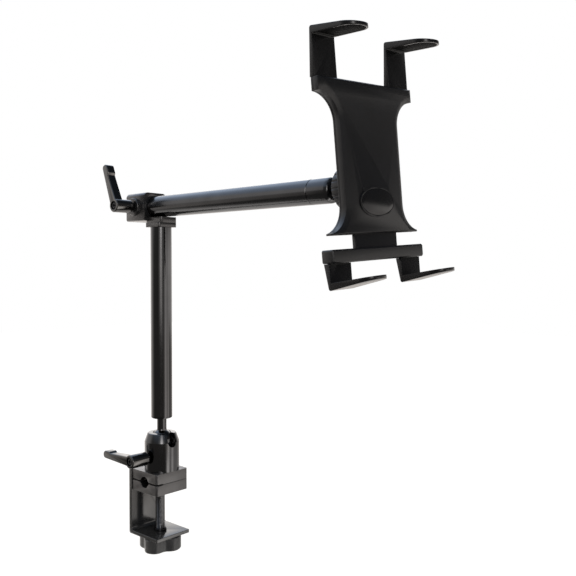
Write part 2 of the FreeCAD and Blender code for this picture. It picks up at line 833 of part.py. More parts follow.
def make_stud(reach):
    """Splined stud inside the lever, running on as the lock screw to its flat point."""
    spline_length = -stud_start - stud_shoulder_gap
    points = []
    for i in range(stud_teeth):
        for part, radius in ((0.0, stud_radius), (0.5, stud_radius + stud_tooth)):
            angle = 2 * math.pi * (i + part) / stud_teeth
            points.append(Vector(radius * math.cos(angle), stud_start, radius * math.sin(angle)))
    spline = path_face(points).extrude(Vector(0, spline_length, 0))
    middle = stud_start + spline_length / 2
    shank = cylinder(lock_screw_radius, reach - middle, (0, middle, 0), (0, 1, 0))
    stud = spline.fuse(shank).removeSplitter()
    return stud.cut(cylinder(lever_screw_radius, lever_screw_grip + 1, (0, stud_start, 0), (0, 1, 0)))


def make_lever_screw():
    """Screw in the lever's end that keeps it on the stud."""
    seat = -lever_stand + lever_recess_depth
    low = seat - lever_screw_head_height
    head = cylinder(lever_screw_head, lever_screw_head_height, (0, low, 0), (0, 1, 0))
    head = head.cut(cylinder(lever_screw_key, lever_screw_key_depth, (0, low, 0), (0, 1, 0)))
    reach = lever_web + lever_spring_room + lever_screw_grip
    return head.fuse(cylinder(lever_screw_radius, reach, (0, seat, 0), (0, 1, 0))).removeSplitter()


def make_lever_spring():
    """Plain sleeve for the small spring that pulls the lever back onto the splines."""
    length = lever_spring_room - 2 * seat_gap
    base = (0, well_start + seat_gap, 0)
    outer = cylinder(lever_spring_radius, length, base, (0, 1, 0))
    return outer.cut(cylinder(lever_spring_bore, length, base, (0, 1, 0)))


def make_arm_tube():
    tube = cylinder(tube_radius, arm_length, (arm_back, 0, arm_z), (1, 0, 0))
    return tube.cut(cylinder(tube_bore, arm_length + 2, (arm_back - 1, 0, arm_z), (1, 0, 0)))


def revolve_x(profile, arcs=()):
    """Solid of revolution about the arm's axis from (station, radius) points."""
    points = [Vector(x, 0, arm_z + radius) for x, radius in profile]
    arcs = {i: Vector(p[0], 0, arm_z + p[1]) for i, p in dict(arcs).items()}
    return path_face(points, arcs).revolve(Vector(0, 0, arm_z), Vector(1, 0, 0), 360)


def make_end_cap():
    """Rounded cap in the arm's tail, free to turn in the tube."""
    spigot = tube_bore - running_gap
    edge = end_cap_edge
    bend = edge * (1 - math.sqrt(0.5))
    profile = [
        (arm_back - end_cap_height, 0),
        (arm_back - end_cap_height, end_cap_radius - edge),
        (arm_back - end_cap_height + edge, end_cap_radius),
        (arm_back - running_gap, end_cap_radius),
        (arm_back - running_gap, spigot),
        (arm_back + end_cap_spigot, spigot),
        (arm_back + end_cap_spigot, 0),
    ]
    return revolve_x(profile, {1: (arm_back - end_cap_height + bend, end_cap_radius - bend)})


def make_arm_head():
    """Front end of the arm: plug, round shoulder, neck and ball in one turned piece."""
    plug_back = arm_front - head_plug_length
    body = arm_front + head_step
    shoulder = head_shoulder
    bend = shoulder * (1 - math.sqrt(0.5))
    neck_end = head_ball_x - math.sqrt(head_ball_radius ** 2 - head_neck_radius ** 2)
    profile = [
        (plug_back, 0),
        (plug_back, tube_bore),
        (arm_front, tube_bore),
        (arm_front, tube_radius - head_seam_depth),
        (body, tube_radius - head_seam_depth),
        (body, tube_radius),
        (head_front - shoulder, tube_radius),
        (head_front, tube_radius - shoulder),
        (head_front, head_neck_radius),
        (neck_end, head_neck_radius),
        (head_ball_x + head_ball_radius, 0),
    ]
    ball_top = (head_ball_x, head_ball_radius)
    return revolve_x(profile, {6: (head_front - bend, tube_radius - bend), 9: ball_top})


def make_ring_nut():
    """Ribbed ring nut, in the holder's frame, whose lip holds the ball."""
    bore = socket_boss_radius + running_gap
    front = nut_length - nut_lip
    lip_hole = math.sqrt((head_ball_radius + running_gap) ** 2 - nut_lip ** 2)
    nut = cylinder(nut_radius, nut_length, (-nut_lip, 0, 0), (1, 0, 0))
    nut = nut.makeChamfer(nut_chamfer, edges_at(nut, lambda b: abs(b.XMax - b.XMin) < 1e-4))
    nut = nut.cut(cylinder(bore, front + nut_thread_room + 1, (-nut_thread_room, 0, 0), (1, 0, 0)))
    nut = nut.cut(Part.makeSphere(head_ball_radius + running_gap))
    nut = nut.cut(cone(lip_hole + lip_chamfer, lip_hole, lip_chamfer, (-nut_lip, 0, 0), (1, 0, 0)))
    for i in range(nut_ribs):
        angle = 2 * math.pi * i / nut_ribs
        reach = nut_radius + nut_rib_offset
        centre = (-nut_lip - 1, reach * math.cos(angle), reach * math.sin(angle))
        nut = nut.cut(cylinder(nut_rib_radius, nut_length + 2, centre, (1, 0, 0)))
    return nut


def make_socket():
    """Ball socket with its flange on the holder's back."""
    flange_back = back_plane - socket_flange_height
    boss = cylinder(socket_boss_radius, flange_back, (0, 0, 0), (1, 0, 0))
    flange = cylinder(socket_flange_radius, socket_flange_height, (flange_back, 0, 0), (1, 0, 0))
    rim = edges_at(flange, lambda b: abs(b.XMax - flange_back) < 1e-4)
    flange = flange.makeChamfer(socket_flange_chamfer, rim)
    socket = boss.fuse(flange).removeSplitter()
    socket = socket.cut(Part.makeSphere(head_ball_radius + running_gap))
    for y, z in socket_screw_places():
        base = (flange_back - 1, y, z)
        socket = socket.cut(cylinder(socket_screw_radius, socket_flange_height + 2, base, (1, 0, 0)))
    return socket


def socket_screw_places():
    for i in range(4):
        angle = math.radians(45 + 90 * i)
        yield socket_screw_pcd / 2 * math.cos(angle), socket_screw_pcd / 2 * math.sin(angle)


def make_socket_screws():
    screws = []
    top = back_plane - socket_flange_height
    for y, z in socket_screw_places():
        low = top - socket_screw_head_height
        head = cylinder(socket_screw_head, socket_screw_head_height, (low, y, z), (1, 0, 0))
        head = head.makeChamfer(socket_screw_round, edges_at(head, lambda b: abs(b.XMax - low) < 1e-4))
        shank = cylinder(socket_screw_radius, socket_screw_length, (top, y, z), (1, 0, 0))
        screws.append(head.fuse(shank).removeSplitter())
    return Part.makeCompound(screws)


def flare(base, end, wish, inset):
    """Where a flank's flare ends, and its arc's middle, on the way from the waist to an end."""
    radius = max(flare_radius, wish - waist_half_width) + inset
    centre = waist_half_width - inset + radius
    rise = min(math.sqrt(radius ** 2 - (centre - wish + inset) ** 2), abs(end - base) - least_edge)
    sign = math.copysign(1, end - base)
    half_turn = math.asin(rise / radius) / 2
    reach = centre - math.sqrt(radius ** 2 - rise ** 2)
    middle = (centre - radius * math.cos(half_turn), base + sign * radius * math.sin(half_turn))
    return (reach, base + sign * rise), middle


def hourglass(x, inset, end_inset):
    """Outline of the holder's body at depth x, drawn in at its flanks and at its two ends."""
    half = waist_half_width - inset
    top = bar_top - end_inset
    low = shell_bottom + end_inset
    bar, bar_bend = flare(waist_top, top, bar_half_width, inset)
    foot, foot_bend = flare(waist_bottom, low, foot_half_width, inset)
    right = [(foot[0], low), foot, (half, waist_bottom), (half, waist_top), bar, (bar[0], top)]
    outline = right + [(-y, z) for y, z in reversed(right)]
    points = [Vector(x, y, z) for y, z in outline]
    bends = {1: foot_bend, 3: bar_bend, 7: (-bar_bend[0], bar_bend[1]), 9: (-foot_bend[0], foot_bend[1])}
    return path_face(points, {i: Vector(x, y, z) for i, (y, z) in bends.items()})


def hourglass_prism(low, high, inset, end_inset):
    return hourglass(low, inset, end_inset).extrude(Vector(high - low, 0, 0))


def hourglass_taper(low, low_insets, high, high_insets):
    wires = [hourglass(low, *low_insets).OuterWire, hourglass(high, *high_insets).OuterWire]
    return Part.makeLoft(wires, True, True)


def leg_slots(gap):
    """Slots in the crossbar that the tenons of the upper legs fill."""
    half = leg_width / 2 - leg_tenon_inset + gap
    for side in (-1, 1):
        y = side * leg_offset
        yield block((leg_back - gap, y - half, upper_root - gap), (leg_plane + gap, y + half, bar_top + 1))


def leg_screw_room(side, back, z):
    """Clear hole and head pocket of a leg screw, from the face that it goes in at."""
    y = side * leg_offset
    hole = cylinder(leg_screw_radius, leg_screw_length, (leg_screw_seat, y, z), (1, 0, 0))
    pocket = cylinder(leg_screw_head + seat_gap, leg_screw_seat - back + 1, (back - 1, y, z), (1, 0, 0))
    return hole.fuse(pocket)


def case_screw_places():
    for side in (-1, 1):
        for z in (waist_top - case_screw_rise, waist_bottom + case_screw_rise):
            yield side * (waist_half_width - case_screw_inset), z


def tongue_space():
    """Room that the slider's tongue sweeps between the two shells."""
    half = tongue_half_width + guide_gap
    return block((split_plane, -half, shell_bottom - 1),
                 (tongue_front + guide_gap, half, slider_top + slider_drop + guide_gap))


def side_room(low, high):
    """The hollow of a shell between two depths, without its walls, rails and screw posts."""
    room = hourglass_prism(low, high, shell_wall, shell_wall)
    room = room.cut(block((low, -bar_half_width, waist_top + spring_bed), (high, bar_half_width, bar_top)))
    for side in (-1, 1):
        inner = side * (tongue_half_width + guide_gap)
        outer = inner + side * rail_width
        room = room.cut(block((low, min(inner, outer), shell_bottom), (high, max(inner, outer), bar_top)))
    for y, z in case_screw_places():
        room = room.cut(cylinder(case_screw_radius + screw_post_wall, high - low, (low, y, z), (1, 0, 0)))
    return room


def make_holder_back():
    """Back shell: hourglass tray with guide rails, screw posts and a rib that holds the springs."""
    middle = back_plane + back_taper_depth
    shell = hourglass_taper(back_plane, (back_taper, back_taper), middle, (0, 0))
    shell = shell.fuse(hourglass_prism(middle, split_plane, 0, 0)).removeSplitter()
    room = side_room(room_back, split_plane)
    post = socket_screw_radius + screw_post_wall
    for y, z in socket_screw_places():
        room = room.cut(cylinder(post, split_plane - room_back, (room_back, y, z), (1, 0, 0)))
    shell = shell.cut(room)
    for slot in leg_slots(seat_gap):
        shell = shell.cut(slot)
    for side in (-1, 1):
        shell = shell.cut(leg_screw_room(side, back_plane, upper_leg_screw_z))
    for y, z in case_screw_places():
        base = (back_plane - 1, y, z)
        shell = shell.cut(cylinder(case_screw_radius, split_plane - back_plane + 2, base, (1, 0, 0)))
        shell = shell.cut(cylinder(case_screw_head + seat_gap, case_screw_sink + 1, base, (1, 0, 0)))
    for y, z in socket_screw_places():
        reach = socket_screw_length - socket_flange_height
        shell = shell.cut(cylinder(socket_screw_radius, reach, (back_plane, y, z), (1, 0, 0)))
    return shell


def make_holder_front():
    """Front shell: skirt, bevelled flanks and a flat face with the badge's raised seat."""
    shell = hourglass_prism(split_plane, rim_plane, 0, 0)
    crown = hourglass_taper(rim_plane, (0, 0), front_plane, (bevel_inset, bevel_end_inset))
    shell = shell.fuse(crown).removeSplitter()
    seat = badge_face(front_plane, badge_margin).extrude(Vector(badge_stand, 0, 0))
    tab = rounded_outline((-badge_tab_half_width, badge_centre), (badge_tab_half_width, badge_tab_top),
                          [0, 0, badge_margin, badge_margin], lambda y, z: Vector(front_plane, y, z))
    shell = shell.fuse([seat, tab.extrude(Vector(badge_tab_height, 0, 0))]).removeSplitter()
    shell = shell.cut(side_room(split_plane, room_front))
    shell = shell.cut(tongue_space())
    bed = badge_face(front_plane + badge_stand - badge_plate, 0)
    shell = shell.cut(bed.extrude(Vector(badge_plate + 1, 0, 0)))
    for slot in leg_slots(seat_gap):
        shell = shell.cut(slot)
    for y, z in case_screw_places():
        reach = back_plane + case_screw_sink + case_screw_length - split_plane
        shell = shell.cut(cylinder(case_screw_radius, reach, (split_plane, y, z), (1, 0, 0)))
    for side in (-1, 1):
        shell = shell.cut(leg_screw_room(side, back_plane, upper_leg_screw_z))
    return shell


def badge_face(x, grow):
    """Oval face of the badge at depth x, grown by a margin."""
    across = Vector(x, badge_half_width + grow, badge_centre)
    above = Vector(x, 0, badge_centre + badge_half_height + grow)
    oval = Part.Ellipse(across, above, Vector(x, 0, badge_centre))
    return Part.Face(Part.Wire(oval.toShape()))


def make_badge():
    return badge_face(front_plane + badge_stand - badge_plate, -seat_gap).extrude(Vector(badge_plate, 0, 0))


def make_case_screws():
    screws = []
    seat = back_plane + case_screw_sink
    for y, z in case_screw_places():
        low = seat - case_screw_head_height
        head = cylinder(case_screw_head, case_screw_head_height, (low, y, z), (1, 0, 0))
        shank = cylinder(case_screw_radius, case_screw_length, (seat, y, z), (1, 0, 0))
        screws.append(head.fuse(shank).removeSplitter())
    return Part.makeCompound(screws)


def make_slider():
    """Tongue and crossbar of the lower jaw, with sockets for its legs and windows for the springs."""
    tongue = block((tongue_back, -tongue_half_width, slider_bar_top - slider_corner),
                   (tongue_front, tongue_half_width, slider_top))
    half = slider_bar_half_width
    bar = bar_x((slider_bar_back, -half, slider_bar_bottom), (slider_bar_front, half, slider_bar_top),
                [slider_corner] * 4)
    front = slider_bar_front
    rim = edges_at(bar, lambda b: abs(b.XMin - front) < 1e-4 and abs(b.XMax - front) < 1e-4)
    slider = bar.makeChamfer(slider_chamfer, rim).fuse(tongue).removeSplitter()
    tenon = leg_width / 2 - leg_tenon_inset + seat_gap
    window = spring_radius + 2 * guide_gap
    window_low = spring_low - slider_drop - seat_gap
    for side in (-1, 1):
        y = side * leg_offset
        slider = slider.cut(block((leg_back - seat_gap, y - tenon, slider_bar_bottom - 1),
                                  (leg_plane + seat_gap, y + tenon, lower_root + seat_gap)))
        slider = slider.cut(leg_screw_room(side, slider_bar_back, lower_leg_screw_z))
        middle = side * spring_offset
        slider = slider.cut(block((tongue_back - 1, middle - window, window_low),
                                  (tongue_front + 1, middle + window, slider_top + 1)))
    return slider


def leg_profile(root, end, sign):
    """Side view of a leg: a tenon, a heel that narrows towards the corner, and a sloping hook.

    root is the height of the hidden end, end the height of the hook's outer face, and the
    sign is +1 for an upper leg and -1 for a lower one."""
    knee = root + sign * (leg_root + seat_gap)
    y = -leg_width / 2
    bend = leg_corner * (1 - math.sqrt(0.5))
    points = [
        Vector(leg_back, y, root),
        Vector(leg_plane, y, root),
        Vector(leg_plane, y, end - sign * hook_root_height),
        Vector(hook_tip, y, end - sign * (hook_slope + hook_tip_height)),
        Vector(hook_tip, y, end - sign * hook_slope),
        Vector(outer_back + leg_corner, y, end),
        Vector(outer_back, y, end - sign * leg_corner),
        Vector(heel_back, y, knee),
        Vector(leg_back, y, knee),
    ]
    return path_face(points, {5: Vector(outer_back + bend, y, end - sign * bend)})


def tongue_plan(start, tip, half, low):
    """Plan of a strap with a half-round end, at a height."""
    points = [
        Vector(start, -half, low),
        Vector(tip - half, -half, low),
        Vector(tip - half, half, low),
        Vector(start, half, low),
    ]
    return path_face(points, {1: Vector(tip, 0, low)})


def hook_lining(end, sign, inset, depth):
    """Space in a hook's inner face, drawn in by the inset, down to a depth below the face."""
    slope = (hook_slope + hook_tip_height - hook_root_height) / hook_length
    half = leg_width / 2 - hook_rim - inset
    plan = tongue_plan(leg_plane + pad_start + inset, hook_tip - hook_rim - inset, half, 0)
    reach = hook_length + leg_width
    y = -leg_width
    near = end - sign * (hook_root_height - depth)
    far = near - sign * slope * reach
    wedge = path_face([
        Vector(leg_plane, y, near),
        Vector(leg_plane + reach, y, far),
        Vector(leg_plane + reach, y, far - sign * leg_width),
        Vector(leg_plane, y, near - sign * leg_width),
    ]).extrude(Vector(0, 2 * leg_width, 0))
    low = min(0, 2 * end)
    column = plan.translate(Vector(0, 0, low)).extrude(Vector(0, 0, abs(2 * end)))
    return column.common(wedge)


def make_leg(root, end, sign, side, screw_z):
    leg = leg_profile(root, end, sign).extrude(Vector(0, leg_width, 0))
    plan = tongue_plan(heel_back - 1, hook_tip, leg_width / 2, min(root, end) - 1)
    leg = leg.common(plan.extrude(Vector(0, 0, abs(end - root) + 2)))
    leg = leg.cut(hook_lining(end, sign, 0, hook_recess))
    shoulder = root + sign * (leg_root + seat_gap)
    low, high = sorted((root - sign, shoulder))
    for flank in (-1, 1):
        inner, outer = sorted((flank * (leg_width / 2 - leg_tenon_inset), flank * leg_width))
        leg = leg.cut(block((heel_back - 1, inner, low), (leg_plane + 1, outer, high)))
    leg = leg.cut(cylinder(leg_screw_radius, leg_thickness + 2, (leg_back - 1, 0, screw_z), (1, 0, 0)))
    return leg.translate(Vector(0, side * leg_offset, 0))


def make_pad(end, sign, side):
    """Rubber lining that lies in a hook's recess."""
    space = hook_lining(end, sign, pad_inset, hook_recess)
    above = hook_lining(end, sign, -pad_start, hook_recess - pad_thickness)
    return space.cut(above).translate(Vector(0, side * leg_offset, 0))


def make_leg_screws(z):
    screws = []
    for side in (-1, 1):
        y = side * leg_offset
        head = cylinder(leg_screw_head, leg_screw_head_height, (leg_screw_seat, y, z), (-1, 0, 0))
        shank = cylinder(leg_screw_radius, leg_screw_length, (leg_screw_seat, y, z), (1, 0, 0))
        screws.append(head.fuse(shank).removeSplitter())
    return Part.makeCompound(screws)


def make_jaw_springs():
    """Two springs in the tongue's windows that pull the lower jaw shut, as plain sleeves."""
    springs = []
    for side in (-1, 1):
        low = ((room_back + room_front) / 2, side * spring_offset, spring_low)
        sleeve = cylinder(spring_radius, spring_length, low, (0, 0, 1))
        springs.append(sleeve.cut(cylinder(spring_bore, spring_length, low, (0, 0, 1))))
    return Part.makeCompound(springs)


holder_place = Placement(
    Vector(head_ball_x, 0, arm_z),
    Rotation(Vector(0, 0, 1), holder_turn)
    .multiply(Rotation(Vector(0, 1, 0), -holder_tilt))
    .multiply(Rotation(Vector(1, 0, 0), holder_roll)),
)
lower_place = lever_frame(0, -housing_radius, lock_z, 90)
upper_place = lever_frame(collar_mid(), -collar_side / 2 - boss_height, arm_z, upper_lever_lean)

pieces = {
    "clamp_bracket": make_bracket(),
    "upper_jaw": make_upper_jaw(),
    "plate_screws": make_plate_screws(),
    "screw_bush": make_screw_bush(),
    "lower_jaw": make_lower_jaw(),
    "jaw_snap_ring": make_jaw_ring(),
    "clamp_screw": make_clamp_screw(),
    "clamp_knob": make_knob(),
    "knob_screw": make_knob_screw(),
    "ball_housing": make_housing(),
    "housing_plug": make_base_plug(),
    "ball_seat": make_ball_seat(),
    "housing_screws": make_housing_screws(),
    "ball_stem": make_ball_stem(),
    "stem_nut": make_stem_nut(),
    "pole_plug": make_pole_plug(),
    "pole_tube": make_pole_tube(),
    "pole_cap": make_pole_cap(),
    "tee_collar": make_tee(),
    "tee_bolt": make_tee_bolt(),
    "collar_liner": make_liner(),
    "pressure_pad": make_pressure_pad(),
    "arm_end_cap": make_end_cap(),
    "arm_tube": make_arm_tube(),
    "arm_head": make_arm_head(),
}

for name, place, reach in (
    ("lower", lower_place, housing_radius - lock_point_gap),
    ("upper", upper_place, boss_height + collar_side / 2 - tube_radius - running_gap - liner_wall),
):
    for piece, shape in (
        ("lever", make_lever()),
        ("lever_stud", make_stud(reach)),
        ("lever_screw", make_lever_screw()),
        ("lever_spring", make_lever_spring()),
    ):
        shape.Placement = place.multiply(shape.Placement)
        pieces[name + "_" + piece] = shape

holder = {
    "ring_nut": make_ring_nut(),
    "ball_socket": make_socket(),
    "socket_screws": make_socket_screws(),
    "holder_back": make_holder_back(),
    "holder_front": make_holder_front(),
    "badge": make_badge(),
    "case_screws": make_case_screws(),
    "jaw_springs": make_jaw_springs(),
    "jaw_slider": make_slider(),
    "upper_leg_screws": make_leg_screws(upper_leg_screw_z),
    "lower_leg_screws": make_leg_screws(lower_leg_screw_z),
}
for side, word in ((-1, "left"), (1, "right")):
    holder["upper_leg_" + word] = make_leg(upper_root, upper_end, 1, side, upper_leg_screw_z)
    holder["upper_pad_" + word] = make_pad(upper_end, 1, side)
    holder["lower_leg_" + word] = make_leg(lower_root, lower_end, -1, side, lower_leg_screw_z)
    holder["lower_pad_" + word] = make_pad(lower_end, -1, side)
for name, shape in holder.items():
    shape.Placement = holder_place.multiply(shape.Placement)
    pieces[name] = shape

for name, shape in pieces.items():
    solids = len(shape.Solids)
    if solids == 0 or not shape.isValid():
        print("check", name, "solids", solids, "valid", shape.isValid())
    shape.exportStep("parts/" + name + ".step")
print(len(pieces), "pieces; arm height", round(arm_z, 2), "ball at", round(head_ball_x, 2))
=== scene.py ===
import bpy
import bmesh
import json
import math
from mathutils import Matrix, Vector


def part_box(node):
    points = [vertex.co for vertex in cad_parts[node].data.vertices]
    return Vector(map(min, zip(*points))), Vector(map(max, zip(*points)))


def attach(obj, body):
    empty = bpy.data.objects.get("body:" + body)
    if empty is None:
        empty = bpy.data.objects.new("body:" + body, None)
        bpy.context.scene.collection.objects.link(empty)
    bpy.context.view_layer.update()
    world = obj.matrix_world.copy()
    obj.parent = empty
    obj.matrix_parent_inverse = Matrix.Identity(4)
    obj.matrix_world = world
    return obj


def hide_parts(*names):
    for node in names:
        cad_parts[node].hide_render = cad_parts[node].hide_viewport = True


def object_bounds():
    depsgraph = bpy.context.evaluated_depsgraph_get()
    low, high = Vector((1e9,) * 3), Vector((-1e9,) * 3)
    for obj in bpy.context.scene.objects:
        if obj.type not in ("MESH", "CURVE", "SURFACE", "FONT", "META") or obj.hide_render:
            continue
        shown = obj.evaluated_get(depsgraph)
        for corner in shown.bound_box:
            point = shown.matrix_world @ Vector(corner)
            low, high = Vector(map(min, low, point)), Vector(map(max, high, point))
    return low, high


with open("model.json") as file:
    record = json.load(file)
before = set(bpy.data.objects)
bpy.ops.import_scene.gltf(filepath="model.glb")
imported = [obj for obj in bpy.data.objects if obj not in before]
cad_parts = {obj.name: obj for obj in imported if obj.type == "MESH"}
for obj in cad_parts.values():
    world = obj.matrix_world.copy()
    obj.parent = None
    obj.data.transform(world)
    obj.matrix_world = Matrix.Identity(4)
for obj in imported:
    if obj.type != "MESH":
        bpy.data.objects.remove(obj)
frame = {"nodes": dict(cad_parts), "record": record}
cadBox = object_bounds()
nodes = frame["nodes"]
record = frame["record"]
mm = 0.001
bodyOf = {node: body for body, group in record["behaviour"]["bodies"].items() for node in group}
slotOf = {part["node"]: part["material_slot"] for part in record["subparts"]}
scene = bpy.context.scene
scene.view_settings.view_transform = "Standard"
print("frame loaded:", len(nodes), "nodes")

# Camera: a longish lens a little above the middle of the pole, looking across the levers' side

camera = {"lens": 45.5, "sensor": 36.0, "place": (0.7029, -0.5496, 0.2523), "tip": 88.67, "turn": 42.1,
          "clipEnd": 60}

cameraData = bpy.data.cameras.new("photoCamera")
cameraData.lens = camera["lens"]
cameraData.sensor_width = camera["sensor"]
cameraData.clip_end = camera["clipEnd"]
cameraObject = bpy.data.objects.new("photoCamera", cameraData)
cameraObject.location = camera["place"]
cameraObject.rotation_euler = (math.radians(camera["tip"]), 0, math.radians(camera["turn"]))
scene.collection.objects.link(cameraObject)
scene.camera = cameraObject
print("camera set")


# Small tools for node trees

def toLinear(code):
    channels = [int(code[i:i + 2], 16) / 255 for i in (1, 3, 5)]
    return [c / 12.92 if c <= 0.04045 else ((c + 0.055) / 1.055) ** 2.4 for c in channels] + [1.0]


def addNode(tree, kind, settings=None, inputs=None):
    node = tree.nodes.new(kind)
    for key, value in (settings or {}).items():
        setattr(node, key, value)
    for key, value in (inputs or {}).items():
        if isinstance(value, bpy.types.NodeSocket):
            tree.links.new(value, node.inputs[key])
        else:
            node.inputs[key].default_value = value
    return node


def setStops(node, stops):
    ramp = node.color_ramp
    while len(ramp.elements) < len(stops):
        ramp.elements.new(0.5)
    for element, (place, colour) in zip(ramp.elements, stops):
        element.position = place
        element.color = colour


# how much of the noise's swing is used, for roughness and for colour
noise = {"rough": (0.25, 0.75), "shade": (0.3, 0.7), "grainDetail": 2.0, "driftDetail": 3.0}


def makeFinish(name, grain, shade, **shaderInputs):
    # grain: its size along x, y and z in mm, its bump depth in mm, and how far roughness swings with it
    # shade: two sRGB colours that the surface drifts between, and the size of the drift in mm
    material = bpy.data.materials.new(name)
    material.use_nodes = True
    tree = material.node_tree
    tree.nodes.clear()
    place = addNode(tree, "ShaderNodeTexCoord").outputs["Object"]
    stretched = addNode(tree, "ShaderNodeMapping", inputs={
        "Vector": place, "Scale": [1 / (size * mm) for size in grain[:3]]}).outputs["Vector"]
    depth, spread = grain[3:]
    fine = addNode(tree, "ShaderNodeTexNoise", inputs={
        "Vector": stretched, "Scale": 1.0, "Detail": noise["grainDetail"]}).outputs["Fac"]
    drift = addNode(tree, "ShaderNodeTexNoise", inputs={
        "Vector": place, "Scale": 1 / (shade[2] * mm), "Detail": noise["driftDetail"]}).outputs["Fac"]
    colour = addNode(tree, "ShaderNodeValToRGB", inputs={"Fac": drift})
    setStops(colour, [(stop, toLinear(code)) for stop, code in zip(noise["shade"], shade)])
    rough = shaderInputs.pop("Roughness")
    roughness = addNode(tree, "ShaderNodeMapRange", inputs={
        "Value": fine, "From Min": noise["rough"][0], "From Max": noise["rough"][1],
        "To Min": rough - spread, "To Max": rough + spread}).outputs["Result"]
    bump = addNode(tree, "ShaderNodeBump", inputs={
        "Height": fine, "Distance": depth * mm, "Strength": 1.0}).outputs["Normal"]
    shader = addNode(tree, "ShaderNodeBsdfPrincipled", inputs={
        "Base Color": colour.outputs["Color"], "Roughness": roughness, "Normal": bump, **shaderInputs})
    addNode(tree, "ShaderNodeOutputMaterial", inputs={"Surface": shader.outputs["BSDF"]})
    return material


wear = {"bare": "#5b5a59", "start": 0.53, "full": 0.62, "amount": 0.3}


def addWear(material):
    # rubbed edges: convex edges show a little of the paler plastic under the surface
    tree = material.node_tree
    shader = next(node for node in tree.nodes if node.type == "BSDF_PRINCIPLED")
    colour = shader.inputs["Base Color"].links[0].from_socket
    edge = addNode(tree, "ShaderNodeNewGeometry").outputs["Pointiness"]
    mask = addNode(tree, "ShaderNodeMapRange", inputs={
        "Value": edge, "From Min": wear["start"], "From Max": wear["full"],
        "To Min": 0.0, "To Max": wear["amount"]}).outputs["Result"]
    worn = addNode(tree, "ShaderNodeMix", {"data_type": "RGBA"}, {
        0: mask, 6: colour, 7: toLinear(wear["bare"])})
    tree.links.new(worn.outputs[2], shader.inputs["Base Color"])


# Finishes

finishes = {
    # drawn tube, black anodised: nearly black, with mirror-like streaks and hair lines along its length
    "poleTube": makeFinish("blackAnodisedTubeUpright", (0.35, 0.35, 60, 0.003, 0.02),
                           ("#525253", "#5a5a5b", 30), Metallic=1.0, Roughness=0.13),
    "armTube": makeFinish("blackAnodisedTubeLevel", (60, 0.35, 0.35, 0.003, 0.02),
                          ("#525253", "#5a5a5b", 30), Metallic=1.0, Roughness=0.19),
    # turned and black anodised: faint rings left by the lathe tool
    "turned": makeFinish("blackAnodisedTurned", (30, 30, 0.4, 0.003, 0.02), ("#515152", "#59595a", 20),
                         Metallic=1.0, Roughness=0.12),
    # blasted and black anodised blocks: a warm dark grey with a soft sheen, almost black round their corners
    "clampCoat": makeFinish("satinAnodisedBlock", (0.9, 0.9, 0.9, 0.005, 0.03), ("#565555", "#5e5d5d", 14),
                            Metallic=0.75, Roughness=0.3),
    # walls of the pipe groove: painted shade, a dull near-black finish so that the hole reads as black
    "grooveCoat": makeFinish("oiledGroove", (0.6, 0.6, 3.0, 0.004, 0.04), ("#101010", "#171716", 8),
                             Metallic=0.3, Roughness=0.6, **{"Specular IOR Level": 0.2}),
    # lacquered steel plate: smooth enough to mirror what stands on it
    "plateCoat": makeFinish("blackLacqueredSteel", (1.0, 1.0, 1.0, 0.002, 0.02), ("#525252", "#5a5a5a", 20),
                            Metallic=0.75, Roughness=0.16),
    # die-cast zinc under a thin black coat: soft sheen and slight orange peel
    "teeCoat": makeFinish("blackenedZincTee", (0.9, 0.9, 0.9, 0.005, 0.03), ("#4c4b4b", "#545353", 12),
                          Metallic=0.78, Roughness=0.24),
    # blackened steel: dull and darker than the parts round it
    "blackSteel": makeFinish("blackOxideSteel", (0.5, 0.5, 0.5, 0.003, 0.04), ("#2c2c2e", "#363638", 6),
                             Metallic=1.0, Roughness=0.3),
    # bright steel shaft, lightly blued: sharp streaks along its length
    "screwSteel": makeFinish("turnedScrewSteel", (30, 30, 0.5, 0.002, 0.02), ("#6c6c6d", "#757576", 8),
                             Metallic=1.0, Roughness=0.14),
    # glass-filled nylon: matt with a fine moulded speckle
    "nylon": makeFinish("glassFilledNylon", (0.7, 0.7, 0.7, 0.010, 0.05), ("#323232", "#3a3a3a", 9),
                        Metallic=0.0, Roughness=0.36),
    # lever arms, die-cast and coated: the smoothest of the cast parts
    "leverCoat": makeFinish("blackCoatedLever", (0.8, 0.8, 0.8, 0.003, 0.03), ("#5f5e5d", "#676665", 9),
                            Metallic=1.0, Roughness=0.15),
    # moulded ABS with a spark-eroded satin grain
    "abs": makeFinish("satinMouldedAbs", (0.6, 0.6, 0.6, 0.008, 0.04), ("#101011", "#151517", 25),
                      Metallic=0.0, Roughness=0.34, **{"Specular IOR Level": 0.4}),
    # smoother nylon of the legs: thin bright streaks along its rims
    "legNylon": makeFinish("polishedNylon", (0.9, 0.9, 0.9, 0.004, 0.03), ("#0c0c0d", "#111113", 20),
                           Metallic=0.0, Roughness=0.2, **{"Specular IOR Level": 0.4}),
    # rubber lining: dull, slightly dusty
    "rubber": makeFinish("matteRubber", (0.4, 0.4, 0.4, 0.02, 0.05), ("#060607", "#0b0b0c", 5),
                         Metallic=0.0, Roughness=0.8, **{"Specular IOR Level": 0.15}),
    # slippery acetal sleeve: plain black with a dull gloss
    "acetal": makeFinish("blackAcetal", (0.6, 0.6, 0.6, 0.006, 0.04), ("#1d1d1e", "#242426", 8),
                         Metallic=0.0, Roughness=0.4),
    # oiled bronze seat: the one warm metal, seen only through the notch
    "bronze": makeFinish("oiledBronze", (0.5, 0.5, 0.5, 0.006, 0.05), ("#8a7350", "#9a8159", 6),
                         Metallic=1.0, Roughness=0.38),
}
addWear(finishes["nylon"])
print("finishes made:", len(finishes))


# Tools for meshes

def link(name, mesh):
    piece = bpy.data.objects.new(name, mesh)
    scene.collection.objects.link(piece)
    return piece


